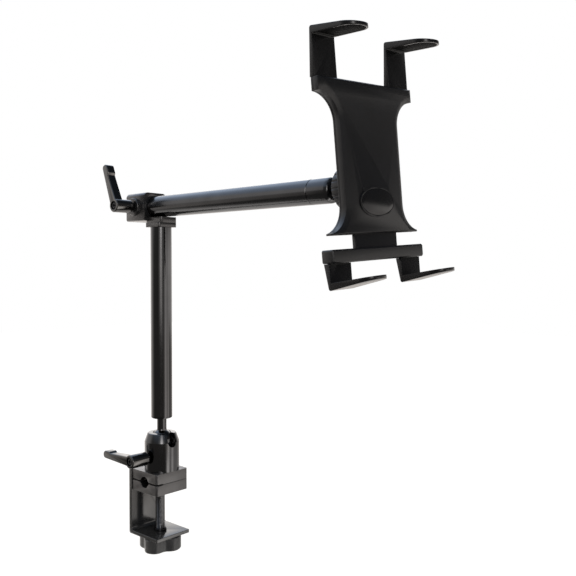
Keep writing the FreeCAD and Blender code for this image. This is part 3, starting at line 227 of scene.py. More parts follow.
def linkShape(name, shape):
    # turns a finished bmesh into a piece
    mesh = bpy.data.meshes.new(name)
    shape.to_mesh(mesh)
    shape.free()
    return link(name, mesh)


def bake(piece):
    # the evaluated shape becomes the piece's plain mesh
    view = bpy.context.evaluated_depsgraph_get()
    mesh = bpy.data.meshes.new_from_object(piece.evaluated_get(view))
    piece.modifiers.clear()
    piece.data = mesh
    return piece


def smooth(piece, sharp):
    for face in piece.data.polygons:
        face.use_smooth = True
    piece.data.set_sharp_from_angle(angle=math.radians(sharp))
    return piece


def soften(piece, width, steps=2, sharp=32):
    # rounds every edge sharper than the limit, then shades the rest smooth
    bevel = piece.modifiers.new("edge", "BEVEL")
    bevel.width = width * mm
    bevel.segments = steps
    bevel.limit_method = "ANGLE"
    bevel.angle_limit = math.radians(sharp)
    bevel.use_clamp_overlap = True
    return smooth(bake(piece), sharp)


def finishPiece(piece, finish, node):
    piece.data.materials.clear()
    piece.data.materials.append(finishes[finish])
    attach(piece, bodyOf[node])
    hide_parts(node)
    return piece


# points closer than this many metres are one, and faces that lean less than this many degrees are one
weld = {"distance": 1e-6, "flat": 0.6}


def cadCopy(name, node):
    # a merged copy of a node, with its flat faces joined again
    shape = bmesh.new()
    shape.from_mesh(nodes[node].data)
    bmesh.ops.remove_doubles(shape, verts=shape.verts, dist=weld["distance"])
    bmesh.ops.dissolve_limit(shape, angle_limit=math.radians(weld["flat"]), verts=shape.verts,
                             edges=shape.edges)
    return linkShape(name, shape)


def dressCad(node, finish, edge, steps=3, sharp=32, name=None):
    # a node's own shape with rounded edges, named as the node is but in one word
    first, *rest = node.split("_")
    name = name or first + "".join(word.title() for word in rest)
    return finishPiece(soften(cadCopy(name, node), edge, steps, sharp), finish, node)


def arc(x, y, radius, start, end, steps):
    # points of an arc in the plane of a profile, from one angle to the other
    turns = [start + (end - start) * step / steps for step in range(steps + 1)]
    return [(x + radius * math.cos(turn), y + radius * math.sin(turn)) for turn in turns]


def lathe(name, profile, base=(0, 0, 0), along=(0, 0, 1), steps=72, closed=False):
    # profile: (radius, height) in mm from one end to the other; closed for a tube
    shape = bmesh.new()
    rings = []
    for radius, height in profile:
        if radius < weld["distance"]:
            rings.append([shape.verts.new((0, 0, height * mm))])
            continue
        ring = []
        for i in range(steps):
            angle = 2 * math.pi * i / steps
            place = (radius * mm * math.cos(angle), radius * mm * math.sin(angle), height * mm)
            ring.append(shape.verts.new(place))
        rings.append(ring)
    pairs = list(zip(rings, rings[1:]))
    if closed:
        pairs.append((rings[-1], rings[0]))
    for low, high in pairs:
        for i in range(steps):
            j = (i + 1) % steps
            if len(low) == 1:
                shape.faces.new((low[0], high[i], high[j]))
            elif len(high) == 1:
                shape.faces.new((low[i], low[j], high[0]))
            else:
                shape.faces.new((low[i], low[j], high[j], high[i]))
    bmesh.ops.recalc_face_normals(shape, faces=shape.faces)
    turn = Vector((0, 0, 1)).rotation_difference(Vector(along)).to_matrix().to_4x4()
    shape.transform(Matrix.Translation(Vector(base) * mm) @ turn)
    return linkShape(name, shape)


def plainRod(name, radius, length, base, along, steps):
    return lathe(name, [(0, 0), (radius, 0), (radius, length), (0, length)], base, along, steps)


def slab(name, low, high):
    shape = bmesh.new()
    bmesh.ops.create_cube(shape, size=1.0)
    size = Vector(high) - Vector(low)
    middle = (Vector(high) + Vector(low)) / 2
    for vert in shape.verts:
        vert.co = Vector(vert.co[i] * size[i] + middle[i] for i in range(3)) * mm
    return linkShape(name, shape)


def prism(name, outline, start, end):
    # outline: (x, z) in mm, drawn out along Y
    shape = bmesh.new()
    near = [shape.verts.new((x * mm, start * mm, z * mm)) for x, z in outline]
    far = [shape.verts.new((x * mm, end * mm, z * mm)) for x, z in outline]
    shape.faces.new(near)
    shape.faces.new(far)
    for i in range(len(outline)):
        j = (i + 1) % len(outline)
        shape.faces.new((near[i], near[j], far[j], far[i]))
    bmesh.ops.recalc_face_normals(shape, faces=shape.faces)
    return linkShape(name, shape)


def carve(piece, cutters):
    for cutter in cutters:
        step = piece.modifiers.new("carve", "BOOLEAN")
        step.operation = "DIFFERENCE"
        step.solver = "EXACT"
        step.object = cutter
    bake(piece)
    for cutter in cutters:
        bpy.data.objects.remove(cutter)
    return piece


def startTree(name, sockets):
    tree = bpy.data.node_groups.new(name, "GeometryNodeTree")
    for label, kind in sockets.items():
        tree.interface.new_socket(label, in_out="INPUT", socket_type="NodeSocket" + kind)
    tree.interface.new_socket("Geometry", in_out="OUTPUT", socket_type="NodeSocketGeometry")
    return tree, addNode(tree, "NodeGroupInput").outputs


def endTree(tree, geometry, finish):
    real = addNode(tree, "GeometryNodeRealizeInstances", inputs={"Geometry": geometry}).outputs["Geometry"]
    coated = addNode(tree, "GeometryNodeSetMaterial", inputs={"Geometry": real, "Material": finish})
    addNode(tree, "NodeGroupOutput", inputs={"Geometry": coated.outputs["Geometry"]})


def runTree(piece, tree, values):
    step = piece.modifiers.new("repeat", "NODES")
    step.node_group = tree
    known = {item.name: item.identifier for item in tree.interface.items_tree if item.in_out == "INPUT"}
    for label, value in values.items():
        step[known[label]] = value
    return bake(piece)


# Geometry tree that sets a template on every point of a mesh

scatterTree, scatterIn = startTree("setOnPoints", {
    "Geometry": "Geometry", "Template": "Object", "Finish": "Material", "Turn": "Rotation"})
scatterTemplate = addNode(scatterTree, "GeometryNodeObjectInfo", inputs={"Object": scatterIn["Template"]})
scatterSet = addNode(scatterTree, "GeometryNodeInstanceOnPoints", inputs={
    "Points": scatterIn["Geometry"], "Instance": scatterTemplate.outputs["Geometry"],
    "Rotation": scatterIn["Turn"]})
endTree(scatterTree, scatterSet.outputs["Instances"], scatterIn["Finish"])

# Geometry tree that cuts a helix into a rod: the groove follows height over pitch less the turn round the rod

rodTree, rodIn = startTree("threadedRod", {
    "Geometry": "Geometry", "Radius": "Float", "Depth": "Float", "Pitch": "Float", "Groove Share": "Float",
    "Length": "Float", "Middle": "Vector", "Thread Top": "Float", "Rows": "Int", "Steps": "Int",
    "Finish": "Material"})
rodPlain = addNode(rodTree, "GeometryNodeMeshCylinder", inputs={
    "Vertices": rodIn["Steps"], "Side Segments": rodIn["Rows"], "Radius": rodIn["Radius"],
    "Depth": rodIn["Length"]})
rodPlace = addNode(rodTree, "GeometryNodeInputPosition").outputs["Position"]
rodAxes = addNode(rodTree, "ShaderNodeSeparateXYZ", inputs={"Vector": rodPlace}).outputs
rodMade = {}
for label, kind, operation, given in (
        ("turn", "Math", "ARCTAN2", {0: rodAxes["Y"], 1: rodAxes["X"]}),
        ("share", "Math", "DIVIDE", {0: "turn", 1: 2 * math.pi}),
        ("rise", "Math", "DIVIDE", {0: rodAxes["Z"], 1: rodIn["Pitch"]}),
        ("phase", "Math", "SUBTRACT", {0: "rise", 1: "share"}),
        ("wave", "Math", "PINGPONG", {0: "phase", 1: 0.5}),
        ("half", "Math", "MULTIPLY", {0: rodIn["Groove Share"], 1: 0.5}),
        ("groove", "MapRange", None, {"Value": "wave", "From Max": "half", "To Min": 1.0, "To Max": 0.0}),
        ("end", "Math", "SUBTRACT", {0: rodIn["Thread Top"], 1: rodAxes["Z"]}),
        ("fade", "MapRange", None, {"Value": "end", "From Max": rodIn["Pitch"]}),
        ("cut", "Math", "MULTIPLY", {0: "groove", 1: "fade"}),
        ("depth", "Math", "MULTIPLY", {0: "cut", 1: rodIn["Depth"]}),
        ("back", "Math", "MULTIPLY", {0: "depth", 1: -1.0}),
        ("out", "CombineXYZ", None, {"X": rodAxes["X"], "Y": rodAxes["Y"]}),
        ("way", "VectorMath", "NORMALIZE", {0: "out"}),
        ("move", "VectorMath", "SCALE", {0: "way", "Scale": "back"})):
    # a word stands for a step made before
    inputs = {key: rodMade[value] if isinstance(value, str) else value for key, value in given.items()}
    step = addNode(rodTree, "ShaderNode" + kind, {"operation": operation} if operation else None, inputs)
    rodMade[label] = step.outputs[0]
rodShaped = addNode(rodTree, "GeometryNodeSetPosition", inputs={
    "Geometry": rodPlain.outputs["Mesh"], "Offset": rodMade["move"]})
rodPlaced = addNode(rodTree, "GeometryNodeTransform", inputs={
    "Geometry": rodShaped.outputs["Geometry"], "Translation": rodIn["Middle"]})
endTree(rodTree, rodPlaced.outputs["Geometry"], rodIn["Finish"])
print("geometry trees ready")


screw = {"steps": 40, "over": 1.0, "keyTip": 0.3, "edge": 0.12, "sharp": 40}


def screwTemplate(profile, sizes):
    # a screw along +Z, its head at the low end, with a hexagon socket sunk in the head
    body = lathe("screwTemplate", profile, steps=screw["steps"])
    reach = sizes["key"] / math.sqrt(3)
    key = lathe("key", [(0, -screw["over"]), (reach, -screw["over"]), (reach, sizes["keyDepth"]),
                        (0, sizes["keyDepth"] + screw["keyTip"])], steps=6)
    return soften(carve(body, [key]), screw["edge"], 1, screw["sharp"])


def setScrews(name, node, template, places, along):
    points = bpy.data.meshes.new(name)
    points.from_pydata([tuple(Vector(place) * mm) for place in places], [], [])
    piece = link(name, points)
    turn = Vector((0, 0, 1)).rotation_difference(Vector(along)).to_euler()
    runTree(piece, scatterTree, {"Template": template, "Finish": finishes["blackSteel"], "Turn": tuple(turn)})
    bpy.data.objects.remove(template)
    finishPiece(smooth(piece, screw["sharp"]), "blackSteel", node)


# Desk clamp: plate, jaws and flange

clamp = {"screwX": -3.75, "bracketEdge": 0.5, "jawEdge": 0.6, "jointDepth": 9.0, "jointHalf": 0.95,
         "grooveMouth": 10.5, "grooveHalf": 7.2, "grooveDepth": 6.6, "grooveLean": 15, "over": 1.0,
         "wallMargin": 0.5, "wallLow": 0.01, "wallOver": 0.1, "wallLean": 0.3}
plateScrew = {"head": 4.6, "rim": 0.3, "cone": 2.4, "radius": 2.5, "length": 16.0, "key": 3.0,
              "keyDepth": 1.8, "x": -32.5, "y": 13.0, "z": 6.25}


def grooveOutline():
    # a round hole that runs out to a point on either side
    outline = []
    lean = math.radians(clamp["grooveLean"])
    for side, turn in ((-1, math.pi), (1, 0)):
        outline.append((clamp["screwX"] + side * clamp["grooveMouth"], 0))
        for x, z in arc(0, 0, 1, turn + lean, turn + math.pi - lean, 10):
            outline.append((clamp["screwX"] + clamp["grooveHalf"] * x, clamp["grooveDepth"] * z))
    return outline


def paintGrooveShade(piece, front, back):
    # painted shade: the groove's walls take the dull near-black finish
    piece.data.materials.append(finishes["grooveCoat"])
    margin = clamp["wallMargin"]
    for face in piece.data.polygons:
        x, y, z = face.center / mm
        across = abs(x - clamp["screwX"]) < clamp["grooveMouth"] and front + margin < y < back - margin
        upright = clamp["wallLow"] < abs(z) < clamp["grooveDepth"] + clamp["wallOver"]
        if across and upright and abs(face.normal.y) < clamp["wallLean"]:
            face.material_index = 1


dressCad("clamp_bracket", "plateCoat", clamp["bracketEdge"])
for node, name in (("upper_jaw", "upperJaw"), ("lower_jaw", "lowerJaw")):
    low, high = [[v / mm for v in corner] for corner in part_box(node)]
    over = clamp["over"]
    joint = slab("joint", (low[0] - over, low[1] - over, -clamp["jointHalf"]),
                 (high[0] + over, low[1] + clamp["jointDepth"], clamp["jointHalf"]))
    groove = prism("groove", grooveOutline(), low[1] - over, high[1] + over)
    block = soften(carve(cadCopy(name, node), [joint, groove]), clamp["jawEdge"], 3)
    finishPiece(block, "clampCoat", node)
    paintGrooveShade(block, low[1], high[1])
setScrews("plateScrews", "plate_screws", screwTemplate(
    [(0, 0), (plateScrew["head"] - plateScrew["rim"], 0), (plateScrew["head"], plateScrew["rim"]),
     (plateScrew["radius"], plateScrew["cone"]), (plateScrew["radius"], plateScrew["length"]),
     (0, plateScrew["length"])], plateScrew),
    [(plateScrew["x"], side * plateScrew["y"], plateScrew["z"]) for side in (-1, 1)], (1, 0, 0))
print("desk clamp made")


# Clamp screw with its thread, bush and hand knob

thread = {"radius": 5.7, "depth": 0.4, "pitch": 1.5, "grooveShare": 0.45, "low": -79.5, "high": -8.0,
          "steps": 48, "rowsPerTurn": 8, "plainTop": 8.0, "sharp": 50, "bushEdge": 0.3}

rod = link("clampScrew", bpy.data.meshes.new("clampScrew"))
threadLength = thread["high"] - thread["low"]
runTree(rod, rodTree, {
    "Radius": thread["radius"] * mm, "Depth": thread["depth"] * mm, "Pitch": thread["pitch"] * mm,
    "Groove Share": thread["grooveShare"], "Length": threadLength * mm,
    "Middle": (clamp["screwX"] * mm, 0.0, (thread["high"] + thread["low"]) / 2 * mm),
    "Thread Top": (threadLength / 2 - thread["plainTop"]) * mm,
    "Rows": int(threadLength / thread["pitch"] * thread["rowsPerTurn"]), "Steps": thread["steps"],
    "Finish": finishes["screwSteel"]})
finishPiece(smooth(rod, thread["sharp"]), "screwSteel", "clamp_screw")
dressCad("screw_bush", "blackSteel", thread["bushEdge"], 2)

knob = {"radius": 26.2, "low": -84.5, "high": -68.0, "lobes": 4, "turn": 24.3, "valley": 6.4, "round": 2.6,
        "topRound": 1.2, "steps": 160, "recess": 10.4, "recessFlare": 0.5, "seat": 9.2, "recessDepth": 5.0,
        "bore": 5.7, "sharp": 40}
knobScrew = {"top": 3.2, "dome": 4.6, "domeHeight": 0.7, "head": 5.2, "headHeight": 2.4, "washer": 8.5,
             "washerRim": 0.2, "washerHeight": 1.6, "radius": 3.0, "length": 16.5, "key": 4.0,
             "keyDepth": 1.6, "low": -83.5}


def knobRadius(angle):
    # lobe crests stay round and the valleys between them are shallow
    wave = math.cos(knob["lobes"] * (angle - math.radians(knob["turn"])))
    return knob["radius"] - knob["valley"] * (0.5 - 0.5 * wave) ** 1.5


def makeKnob():
    # rows from the recess round the outside to the bore: a hole's row gives its radius, a lobe's its inset
    shape = bmesh.new()
    height = knob["high"] - knob["low"]
    under, over = knob["round"], knob["topRound"]
    rows = [("hole", knob["recess"], 0.0), ("hole", knob["recess"] + knob["recessFlare"], 0.0)]
    rows += [("lobe", *point) for point in arc(under, under, under, -math.pi / 2, -math.pi, 6)]
    rows += [("lobe", 0.0, height / 2)]
    rows += [("lobe", *point) for point in arc(over, height - over, over, math.pi, math.pi / 2, 4)]
    rows += [("hole", knob["bore"], height), ("hole", knob["bore"], knob["recessDepth"]),
             ("hole", knob["seat"], knob["recessDepth"])]
    rings = []
    for kind, size, rise in rows:
        ring = []
        for i in range(knob["steps"]):
            angle = 2 * math.pi * i / knob["steps"]
            radius = size if kind == "hole" else knobRadius(angle) - size
            ring.append(shape.verts.new((radius * mm * math.cos(angle) + clamp["screwX"] * mm,
                                         radius * mm * math.sin(angle), (knob["low"] + rise) * mm)))
        rings.append(ring)
    for low, high in zip(rings, rings[1:] + rings[:1]):
        for i in range(knob["steps"]):
            j = (i + 1) % knob["steps"]
            shape.faces.new((low[i], low[j], high[j], high[i]))
    bmesh.ops.recalc_face_normals(shape, faces=shape.faces)
    return smooth(linkShape("handKnob", shape), knob["sharp"])


finishPiece(makeKnob(), "nylon", "clamp_knob")
washerTop = knobScrew["headHeight"] + knobScrew["washerHeight"]
setScrews("knobScrew", "knob_screw", screwTemplate(
    [(0, 0), (knobScrew["top"], 0), (knobScrew["dome"], knobScrew["domeHeight"]),
     (knobScrew["head"], knobScrew["headHeight"]),
     (knobScrew["washer"] - knobScrew["washerRim"], knobScrew["headHeight"]),
     (knobScrew["washer"], knobScrew["headHeight"] + knobScrew["washerRim"]),
     (knobScrew["washer"], washerTop - knobScrew["washerRim"]),
     (knobScrew["washer"] - knobScrew["washerRim"], washerTop), (knobScrew["radius"], washerTop),
     (knobScrew["radius"], knobScrew["length"]), (0, knobScrew["length"])], knobScrew),
    [(clamp["screwX"], 0, knobScrew["low"])], (0, 0, 1))
print("clamp screw and knob made")


# Ball housing with the notch that lets the neck lie down

housing = {"radius": 20.75, "low": 12.5, "shoulder": 47.2, "topRadius": 17.2, "top": 57.5, "lipDrop": 0.6,
           "lip": 0.8, "ballZ": 47.8, "ball": 13.6, "mouth": 1.0, "mouthWider": 0.5, "notch": 6.2,
           "lockZ": 29.5, "lock": 4.05, "cut": 26, "gateTop": 64, "edge": 0.45, "sharp": 12}


def makeHousing():
    # the bore closes over the ball on an arc of its own radius
    mouthAngle = math.asin((housing["top"] - housing["mouth"] - housing["ballZ"]) / housing["ball"])
    bore = arc(0, housing["ballZ"], housing["ball"], mouthAngle, 0, 10)
    shape = lathe("ballHousing", [
        (housing["ball"], housing["low"]), (housing["radius"], housing["low"]),
        (housing["radius"], housing["shoulder"]), (housing["topRadius"], housing["top"] - housing["lipDrop"]),
        (housing["topRadius"] - housing["lip"], housing["top"]),
        (bore[0][0] + housing["mouthWider"], housing["top"])] + bore, steps=96, closed=True)
    channel = plainRod("channel", housing["notch"], housing["cut"], (0, 0, housing["ballZ"]), (1, 0, 0), 48)
    lockHole = plainRod("lockHole", housing["lock"], housing["cut"], (0, 0, housing["lockZ"]), (0, -1, 0), 32)
    gate = slab("gate", (0, -housing["notch"], housing["ballZ"]),
                (housing["cut"], housing["notch"], housing["gateTop"]))
    return soften(carve(shape, [channel, gate, lockHole]), housing["edge"], 3, housing["sharp"])


finishPiece(makeHousing(), "turned", "ball_housing")

ball = {"centre": 47.8, "radius": 13.5, "neck": 5.7, "flare": 6.0, "flareMiddle": 5.8, "flareHeight": 2.6,
        "flareDrop": 1.2, "neckTop": 74.2, "waist": 5.2, "waistLow": 74.4, "shoulder": 75.0, "spigot": 5.0,
        "top": 104.0, "sharp": 40}
flareAngle = math.acos(ball["flare"] / ball["radius"])
sphere = arc(0, ball["centre"], ball["radius"], -math.pi / 2, flareAngle, 24)
flareTop = sphere[-1][1] + ball["flareHeight"]
stem = lathe("ballStem", sphere + [
    (ball["flareMiddle"], flareTop - ball["flareDrop"]), (ball["neck"], flareTop),
    (ball["neck"], ball["neckTop"]), (ball["waist"], ball["waistLow"]), (ball["waist"], ball["shoulder"]),
    (ball["spigot"], ball["shoulder"]), (ball["spigot"], ball["top"]), (0, ball["top"])], steps=64)
finishPiece(smooth(stem, ball["sharp"]), "turned", "ball_stem")
print("lower ball joint made")


# Pole: plug, tube and square cap

pole = {"radius": 12.7, "bore": 11.2, "low": 77.0, "high": 305.0, "rim": 75.0, "plugTop": 97.0, "hole": 5.05,
        "tubeRim": 0.25, "plugRound": 1.5, "steps": 96, "tubeSharp": 25, "plugSharp": 40, "capEdge": 0.4}


def tubeProfile(low, high):
    radius, bore, rim = pole["radius"], pole["bore"], pole["tubeRim"]
    return [(bore, low), (radius - rim, low), (radius, low + rim), (radius, high - rim), (radius - rim, high),
            (bore, high)]


tube = lathe("poleTube", tubeProfile(pole["low"], pole["high"]), steps=pole["steps"], closed=True)
finishPiece(smooth(tube, pole["tubeSharp"]), "poleTube", "pole_tube")
plugRound = pole["plugRound"]
plug = lathe("polePlug", [(pole["hole"], pole["rim"])]
             + arc(pole["radius"] - plugRound, pole["rim"] + plugRound, plugRound, -math.pi / 2, 0, 6)
             + [(pole["radius"], pole["low"]), (pole["bore"], pole["low"]), (pole["bore"], pole["plugTop"]),
                (pole["hole"], pole["plugTop"])], steps=pole["steps"], closed=True)
finishPiece(smooth(plug, pole["plugSharp"]), "turned", "pole_plug")
dressCad("pole_cap", "teeCoat", pole["capEdge"])
print("pole made")


# Tee: collar, saddle and boss

tee = {"edge": 0.7, "capTop": 310.2, "saddle": 6.8, "sink": 0.4}
teeBolt = {"head": 5.0, "rim": 0.3, "headHeight": 3.2, "radius": 3.0, "length": 21.2, "key": 4.0,
           "keyDepth": 1.6}

dressCad("tee_collar", "teeCoat", tee["edge"])
setScrews("teeBolt", "tee_bolt", screwTemplate(
    [(0, 0), (teeBolt["head"] - teeBolt["rim"], 0), (teeBolt["head"], teeBolt["rim"]),
     (teeBolt["head"], teeBolt["headHeight"]), (teeBolt["radius"], teeBolt["headHeight"]),
     (teeBolt["radius"], teeBolt["length"]), (0, teeBolt["length"])], teeBolt),
    [(0, 0, tee["capTop"] + tee["saddle"] - tee["sink"])], (0, 0, -1))
print("tee made")


# Arm: tube, tail cap and the turned head with its ball

arm = {"shoulder": 6.0, "ball": 12.5, "neck": 5.6, "neckLength": 17.0, "neckEdge": 0.5, "seam": 0.9,
       "seamWidth": 0.6, "seamEdge": 0.2, "plug": 18.0, "tailPlug": 11.15, "tailDepth": 12.0,
       "tail": [(0, -2.5), (9.8, -2.5), (11.2, -2.1), (11.9, -1.3), (12.1, -0.6), (12.1, -0.05)],
       "tailSharp": 50, "headSharp": 40}
(back, _, low), (front, _, high) = [[v / mm for v in corner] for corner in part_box("arm_tube")]
arm["z"] = (low + high) / 2
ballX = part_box("arm_head")[1][0] / mm - arm["ball"]
headFront = ballX - arm["neckLength"]
onArm = {"base": (0, 0, arm["z"]), "along": (1, 0, 0)}

tube = lathe("armTube", tubeProfile(back, front), **onArm, steps=pole["steps"], closed=True)
finishPiece(smooth(tube, pole["tubeSharp"]), "armTube", "arm_tube")
tail = lathe("armTail", [(radius, back + x) for radius, x in arm["tail"]] + [
    (arm["tailPlug"], back + arm["tail"][-1][1]), (arm["tailPlug"], back + arm["tailDepth"]),
    (0, back + arm["tailDepth"])], **onArm)
finishPiece(smooth(tail, arm["tailSharp"]), "nylon", "arm_end_cap")

radius, bore, neck = pole["radius"], pole["bore"], arm["neck"]
seam = radius - arm["seam"]
plugBack = front - arm["plug"]
headBack = front + arm["seamWidth"]
shoulder = arc(radius - arm["shoulder"], headFront - arm["shoulder"], arm["shoulder"], 0, math.pi / 2, 8)
headBall = arc(0, ballX, arm["ball"], -math.acos(neck / arm["ball"]), math.pi / 2, 24)
head = lathe("armHead", [
    (0, plugBack), (bore, plugBack), (bore, front), (seam, front), (seam, headBack),
    (radius - arm["seamEdge"], headBack), (radius, headBack + arm["seamEdge"])] + shoulder + [
    (neck + arm["neckEdge"], headFront), (neck, headFront + arm["neckEdge"])] + headBall, **onArm)
finishPiece(smooth(head, arm["headSharp"]), "armTube", "arm_head")
print("arm made")


# Ratchet levers

lever = {"edge": 0.35, "screwEdge": 0.25}

for where in ("lower", "upper"):
    dressCad(where + "_lever", "leverCoat", lever["edge"])
    dressCad(where + "_lever_screw", "blackSteel", lever["screwEdge"], 2)
print("levers made")


# Tablet holder

holder = {"edge": 0.6, "legEdge": 0.5, "nutEdge": 0.35, "nutSharp": 36, "socketEdge": 0.3, "badgeEdge": 0.25,
          "padEdge": 0.3}

dressCad("ring_nut", "abs", holder["nutEdge"], 2, holder["nutSharp"])
dressCad("ball_socket", "abs", holder["socketEdge"], 2)
for node in ("holder_back", "holder_front", "jaw_slider"):
    dressCad(node, "abs", holder["edge"])
dressCad("badge", "legNylon", holder["badgeEdge"], 2, name="badgeOval")
for where in ("upper", "lower"):
    for side in ("left", "right"):
        dressCad(where + "_leg_" + side, "legNylon", holder["legEdge"])
        dressCad(where + "_pad_" + side, "rubber", holder["padEdge"], 2)
print("holder made")


# The rest of the nodes keep their shape and get their own finish

plainFinishes = {"steel": "blackSteel", "bronze": "bronze", "sleeve_plastic": "acetal", "anodised": "turned",
                 "painted": "teeCoat", "lever_plastic": "leverCoat", "case_plastic": "abs",
                 "leg_plastic": "legNylon", "pad": "rubber"}
for node, item in nodes.items():
    if not len(item.material_slots):
        item.data.materials.append(None)
    for place in item.material_slots:
        place.material = finishes[plainFinishes[slotOf[node]]]
print("nodes finished")


# Floor, world and lamps

# the floor lies below the clamp, as a desk mount leaves it, with room for the arm when the ball is laid over
stage = {"floorDrop": 0.26, "floorSize": 12.0, "paper": "#e9e6e2", "near": 1.5, "far": 2.1, "shadeNear": 0.6,
         "shadeFar": 1.6, "whiteNear": 2.25, "whiteFar": 2.85, "whiteShare": 0.3, "wallTop": (0.04, 0.09),
         "ceiling": (0.35, 0.62), "softTint": (0.95, 0.97, 1.0, 1.0), "soft": 0.4}

# What polished metal sees, by the angle round the object in degrees: 0 is the camera's side, 90 its right.
# White paper behind, a soft box near the camera, a dark room on the left, paper again on the right.
studio = {
    "cameraSide": (0.670, -0.742, 0.0), "rightSide": (0.742, 0.670, 0.0), "strongest": 5.0,
    # the two floor rings are painted reflection: to reflected rays the floor glows with them, bright bands
    # for soft boxes and dark ones for the room
    "paperNear": [(-180, 0.9), (-140, 1.3), (-114, 1.3), (-106, 0.8), (-99, 0.1), (28, 0.1), (38, 0.3),
                  (44, 2.4), (56, 2.4), (62, 0.7), (72, 0.8), (80, 2.2), (88, 1.5), (96, 0.8), (130, 0.7),
                  (180, 0.9)],
    "paperFar": [(-180, 1.0), (-140, 1.3), (-112, 1.1), (-90, 0.5), (-74, 0.12), (28, 0.12), (40, 0.4),
                 (50, 1.3), (60, 1.5), (68, 0.7), (76, 0.75), (86, 1.4), (95, 0.9), (106, 0.3), (125, 0.5),
                 (180, 1.0)],
    "walls": [(-180, 1.0), (-140, 1.5), (-112, 1.3), (-90, 0.5), (-74, 0.14), (-22, 0.12), (-8, 0.6),
              (4, 1.6), (14, 1.4), (24, 0.3), (38, 0.35), (50, 1.3), (62, 1.5), (76, 0.9), (92, 1.45),
              (180, 1.0)],
    "above": [(-180, 2.4), (-160, 1.3), (-105, 0.9), (-84, 0.85), (-60, 0.2), (-20, 0.14), (-2, 0.7),
              (4, 5.0), (14, 5.0), (19, 0.8), (34, 0.16), (60, 0.1), (118, 0.1), (140, 0.4), (158, 1.6),
              (180, 2.4)],
    "top": [(-180, 1.2), (-140, 1.7), (-115, 1.1), (-80, 0.7), (0, 0.4), (60, 0.2), (90, 0.05), (125, 0.05),
            (150, 0.15), (165, 0.6), (180, 1.2)],
    "tints": {"paperNear": (1.04, 1.0, 0.96), "paperFar": (1.07, 1.0, 0.94), "walls": (1.05, 1.0, 0.96),
              "above": (1.03, 1.0, 0.98), "top": (0.8, 0.97, 1.24)}}


def lookRound(tree, way, ring):
    # a brightness that follows the angle of a direction or a place round the object
    sides = []
    for side in ("rightSide", "cameraSide"):
        dot = addNode(tree, "ShaderNodeVectorMath", {"operation": "DOT_PRODUCT"}, {0: way, 1: studio[side]})
        sides.append(dot.outputs["Value"])
    angle = addNode(tree, "ShaderNodeMath", {"operation": "ARCTAN2"}, {0: sides[0], 1: sides[1]})
    turn = addNode(tree, "ShaderNodeMapRange", inputs={
        "Value": angle.outputs["Value"], "From Min": -math.pi, "From Max": math.pi}).outputs["Result"]
    ramp = addNode(tree, "ShaderNodeValToRGB", inputs={"Fac": turn})
    tint = studio["tints"][ring]
    setStops(ramp, [((place + 180) / 360, [part * value / studio["strongest"] for part in tint] + [1.0])
                    for place, value in studio[ring]])
    return ramp.outputs["Color"]


def between(tree, value, low, high, first, second):
    # the first colour below low, the second above high
    part = addNode(tree, "ShaderNodeMapRange", inputs={"Value": value, "From Min": low, "From Max": high})
    mixed = addNode(tree, "ShaderNodeMix", {"data_type": "RGBA"}, {
        0: part.outputs["Result"], 6: first, 7: second})
    return mixed.outputs[2]


def makePaper():
    material = bpy.data.materials.new("palePaper")
    material.use_nodes = True
    tree = material.node_tree
    tree.nodes.clear()
    path = addNode(tree, "ShaderNodeLightPath").outputs
    place = addNode(tree, "ShaderNodeTexCoord").outputs["Object"]
    distance = addNode(tree, "ShaderNodeVectorMath", {"operation": "LENGTH"}, {0: place}).outputs["Value"]
    # painted reflection: the floor's glowing bands, near the object and far off
    shown = between(tree, distance, stage["near"], stage["far"], lookRound(tree, place, "paperNear"),
                    lookRound(tree, place, "paperFar"))
    matt = addNode(tree, "ShaderNodeBsdfDiffuse", inputs={"Color": toLinear(stage["paper"])})
    # to the camera the paper's own white grows with distance, so a shadow near the object still shows
    lift = addNode(tree, "ShaderNodeMapRange", inputs={
        "Value": distance, "From Min": stage["shadeNear"], "From Max": stage["shadeFar"],
        "To Min": stage["whiteNear"], "To Max": stage["whiteFar"]}).outputs["Result"]
    white = addNode(tree, "ShaderNodeEmission", inputs={"Color": (1, 1, 1, 1), "Strength": lift})
    seen = addNode(tree, "ShaderNodeMath", {"operation": "MULTIPLY"}, {
        0: path["Is Camera Ray"], 1: stage["whiteShare"]}).outputs["Value"]
    # painted reflection: reflected rays see the floor glow with these bands, though it is no lamp
    mirrored = addNode(tree, "ShaderNodeEmission", inputs={"Color": shown, "Strength": studio["strongest"]})
    glossy = addNode(tree, "ShaderNodeMixShader", inputs={
        0: path["Is Glossy Ray"], 1: matt.outputs["BSDF"], 2: mirrored.outputs["Emission"]})
    both = addNode(tree, "ShaderNodeMixShader", inputs={
        0: seen, 1: glossy.outputs["Shader"], 2: white.outputs["Emission"]})
    addNode(tree, "ShaderNodeOutputMaterial", inputs={"Surface": both.outputs["Shader"]})
    return material


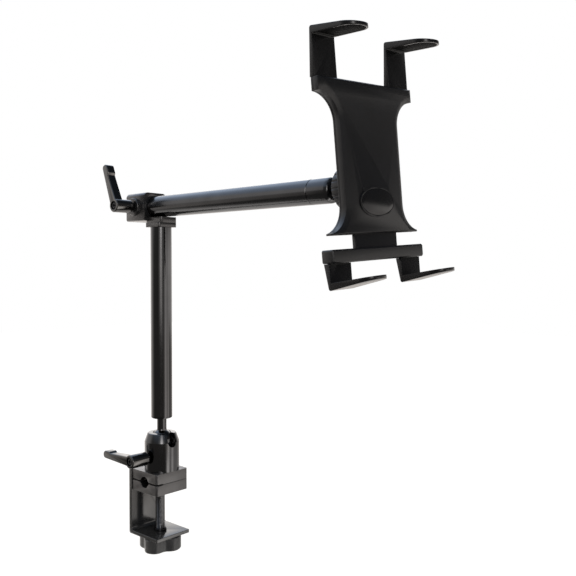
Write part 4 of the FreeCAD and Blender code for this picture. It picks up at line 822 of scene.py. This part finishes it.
floorMesh = bpy.data.meshes.new("floor")
half = stage["floorSize"] / 2
floorZ = cadBox[0][2] - stage["floorDrop"]
corners = [(x * half, y * half, floorZ) for x, y in ((-1, -1), (1, -1), (1, 1), (-1, 1))]
floorMesh.from_pydata(corners, [], [(0, 1, 2, 3)])
floorMesh.materials.append(makePaper())
floor = link("floor", floorMesh)


def makeWorld():
    world = bpy.data.worlds.new("softStudio")
    scene.world = world
    world.use_nodes = True
    tree = world.node_tree
    tree.nodes.clear()
    way = addNode(tree, "ShaderNodeTexCoord").outputs["Generated"]
    rise = addNode(tree, "ShaderNodeSeparateXYZ", inputs={"Vector": way}).outputs["Z"]
    low = between(tree, rise, *stage["wallTop"], lookRound(tree, way, "walls"), lookRound(tree, way, "above"))
    room = between(tree, rise, *stage["ceiling"], low, lookRound(tree, way, "top"))
    path = addNode(tree, "ShaderNodeLightPath").outputs
    lights = [addNode(tree, "ShaderNodeBackground", inputs={"Color": colour, "Strength": strength})
              for colour, strength in ((room, studio["strongest"]), (stage["softTint"], stage["soft"]),
                                       ((1, 1, 1, 1), 1.0))]
    mirrored, soft, white = [light.outputs["Background"] for light in lights]
    glossy = addNode(tree, "ShaderNodeMixShader", inputs={0: path["Is Glossy Ray"], 1: soft, 2: mirrored})
    both = addNode(tree, "ShaderNodeMixShader", inputs={
        0: path["Is Camera Ray"], 1: glossy.outputs["Shader"], 2: white})
    addNode(tree, "ShaderNodeOutputWorld", inputs={"Surface": both.outputs["Shader"]})


makeWorld()

# each lamp's place and width in metres, its power in watts and its colour
lamps = {"key": ((-1.0, -1.4, 0.25), 1.2, 32.0, "#fff8f0"), "fill": ((1.6, -0.2, 1.2), 1.4, 9.0, "#f2f6ff")}
lampAim = (0.12, 0, 0.2)
for name, (place, size, power, tint) in lamps.items():
    data = bpy.data.lights.new(name + "Lamp", "AREA")
    data.size = size
    data.energy = power
    data.color = toLinear(tint)[:3]
    lamp = bpy.data.objects.new(name + "Lamp", data)
    lamp.location = place
    lamp.visible_glossy = False
    lamp.rotation_euler = (Vector(lampAim) - Vector(place)).to_track_quat("-Z", "Y").to_euler()
    scene.collection.objects.link(lamp)
print("stage and lamps set")
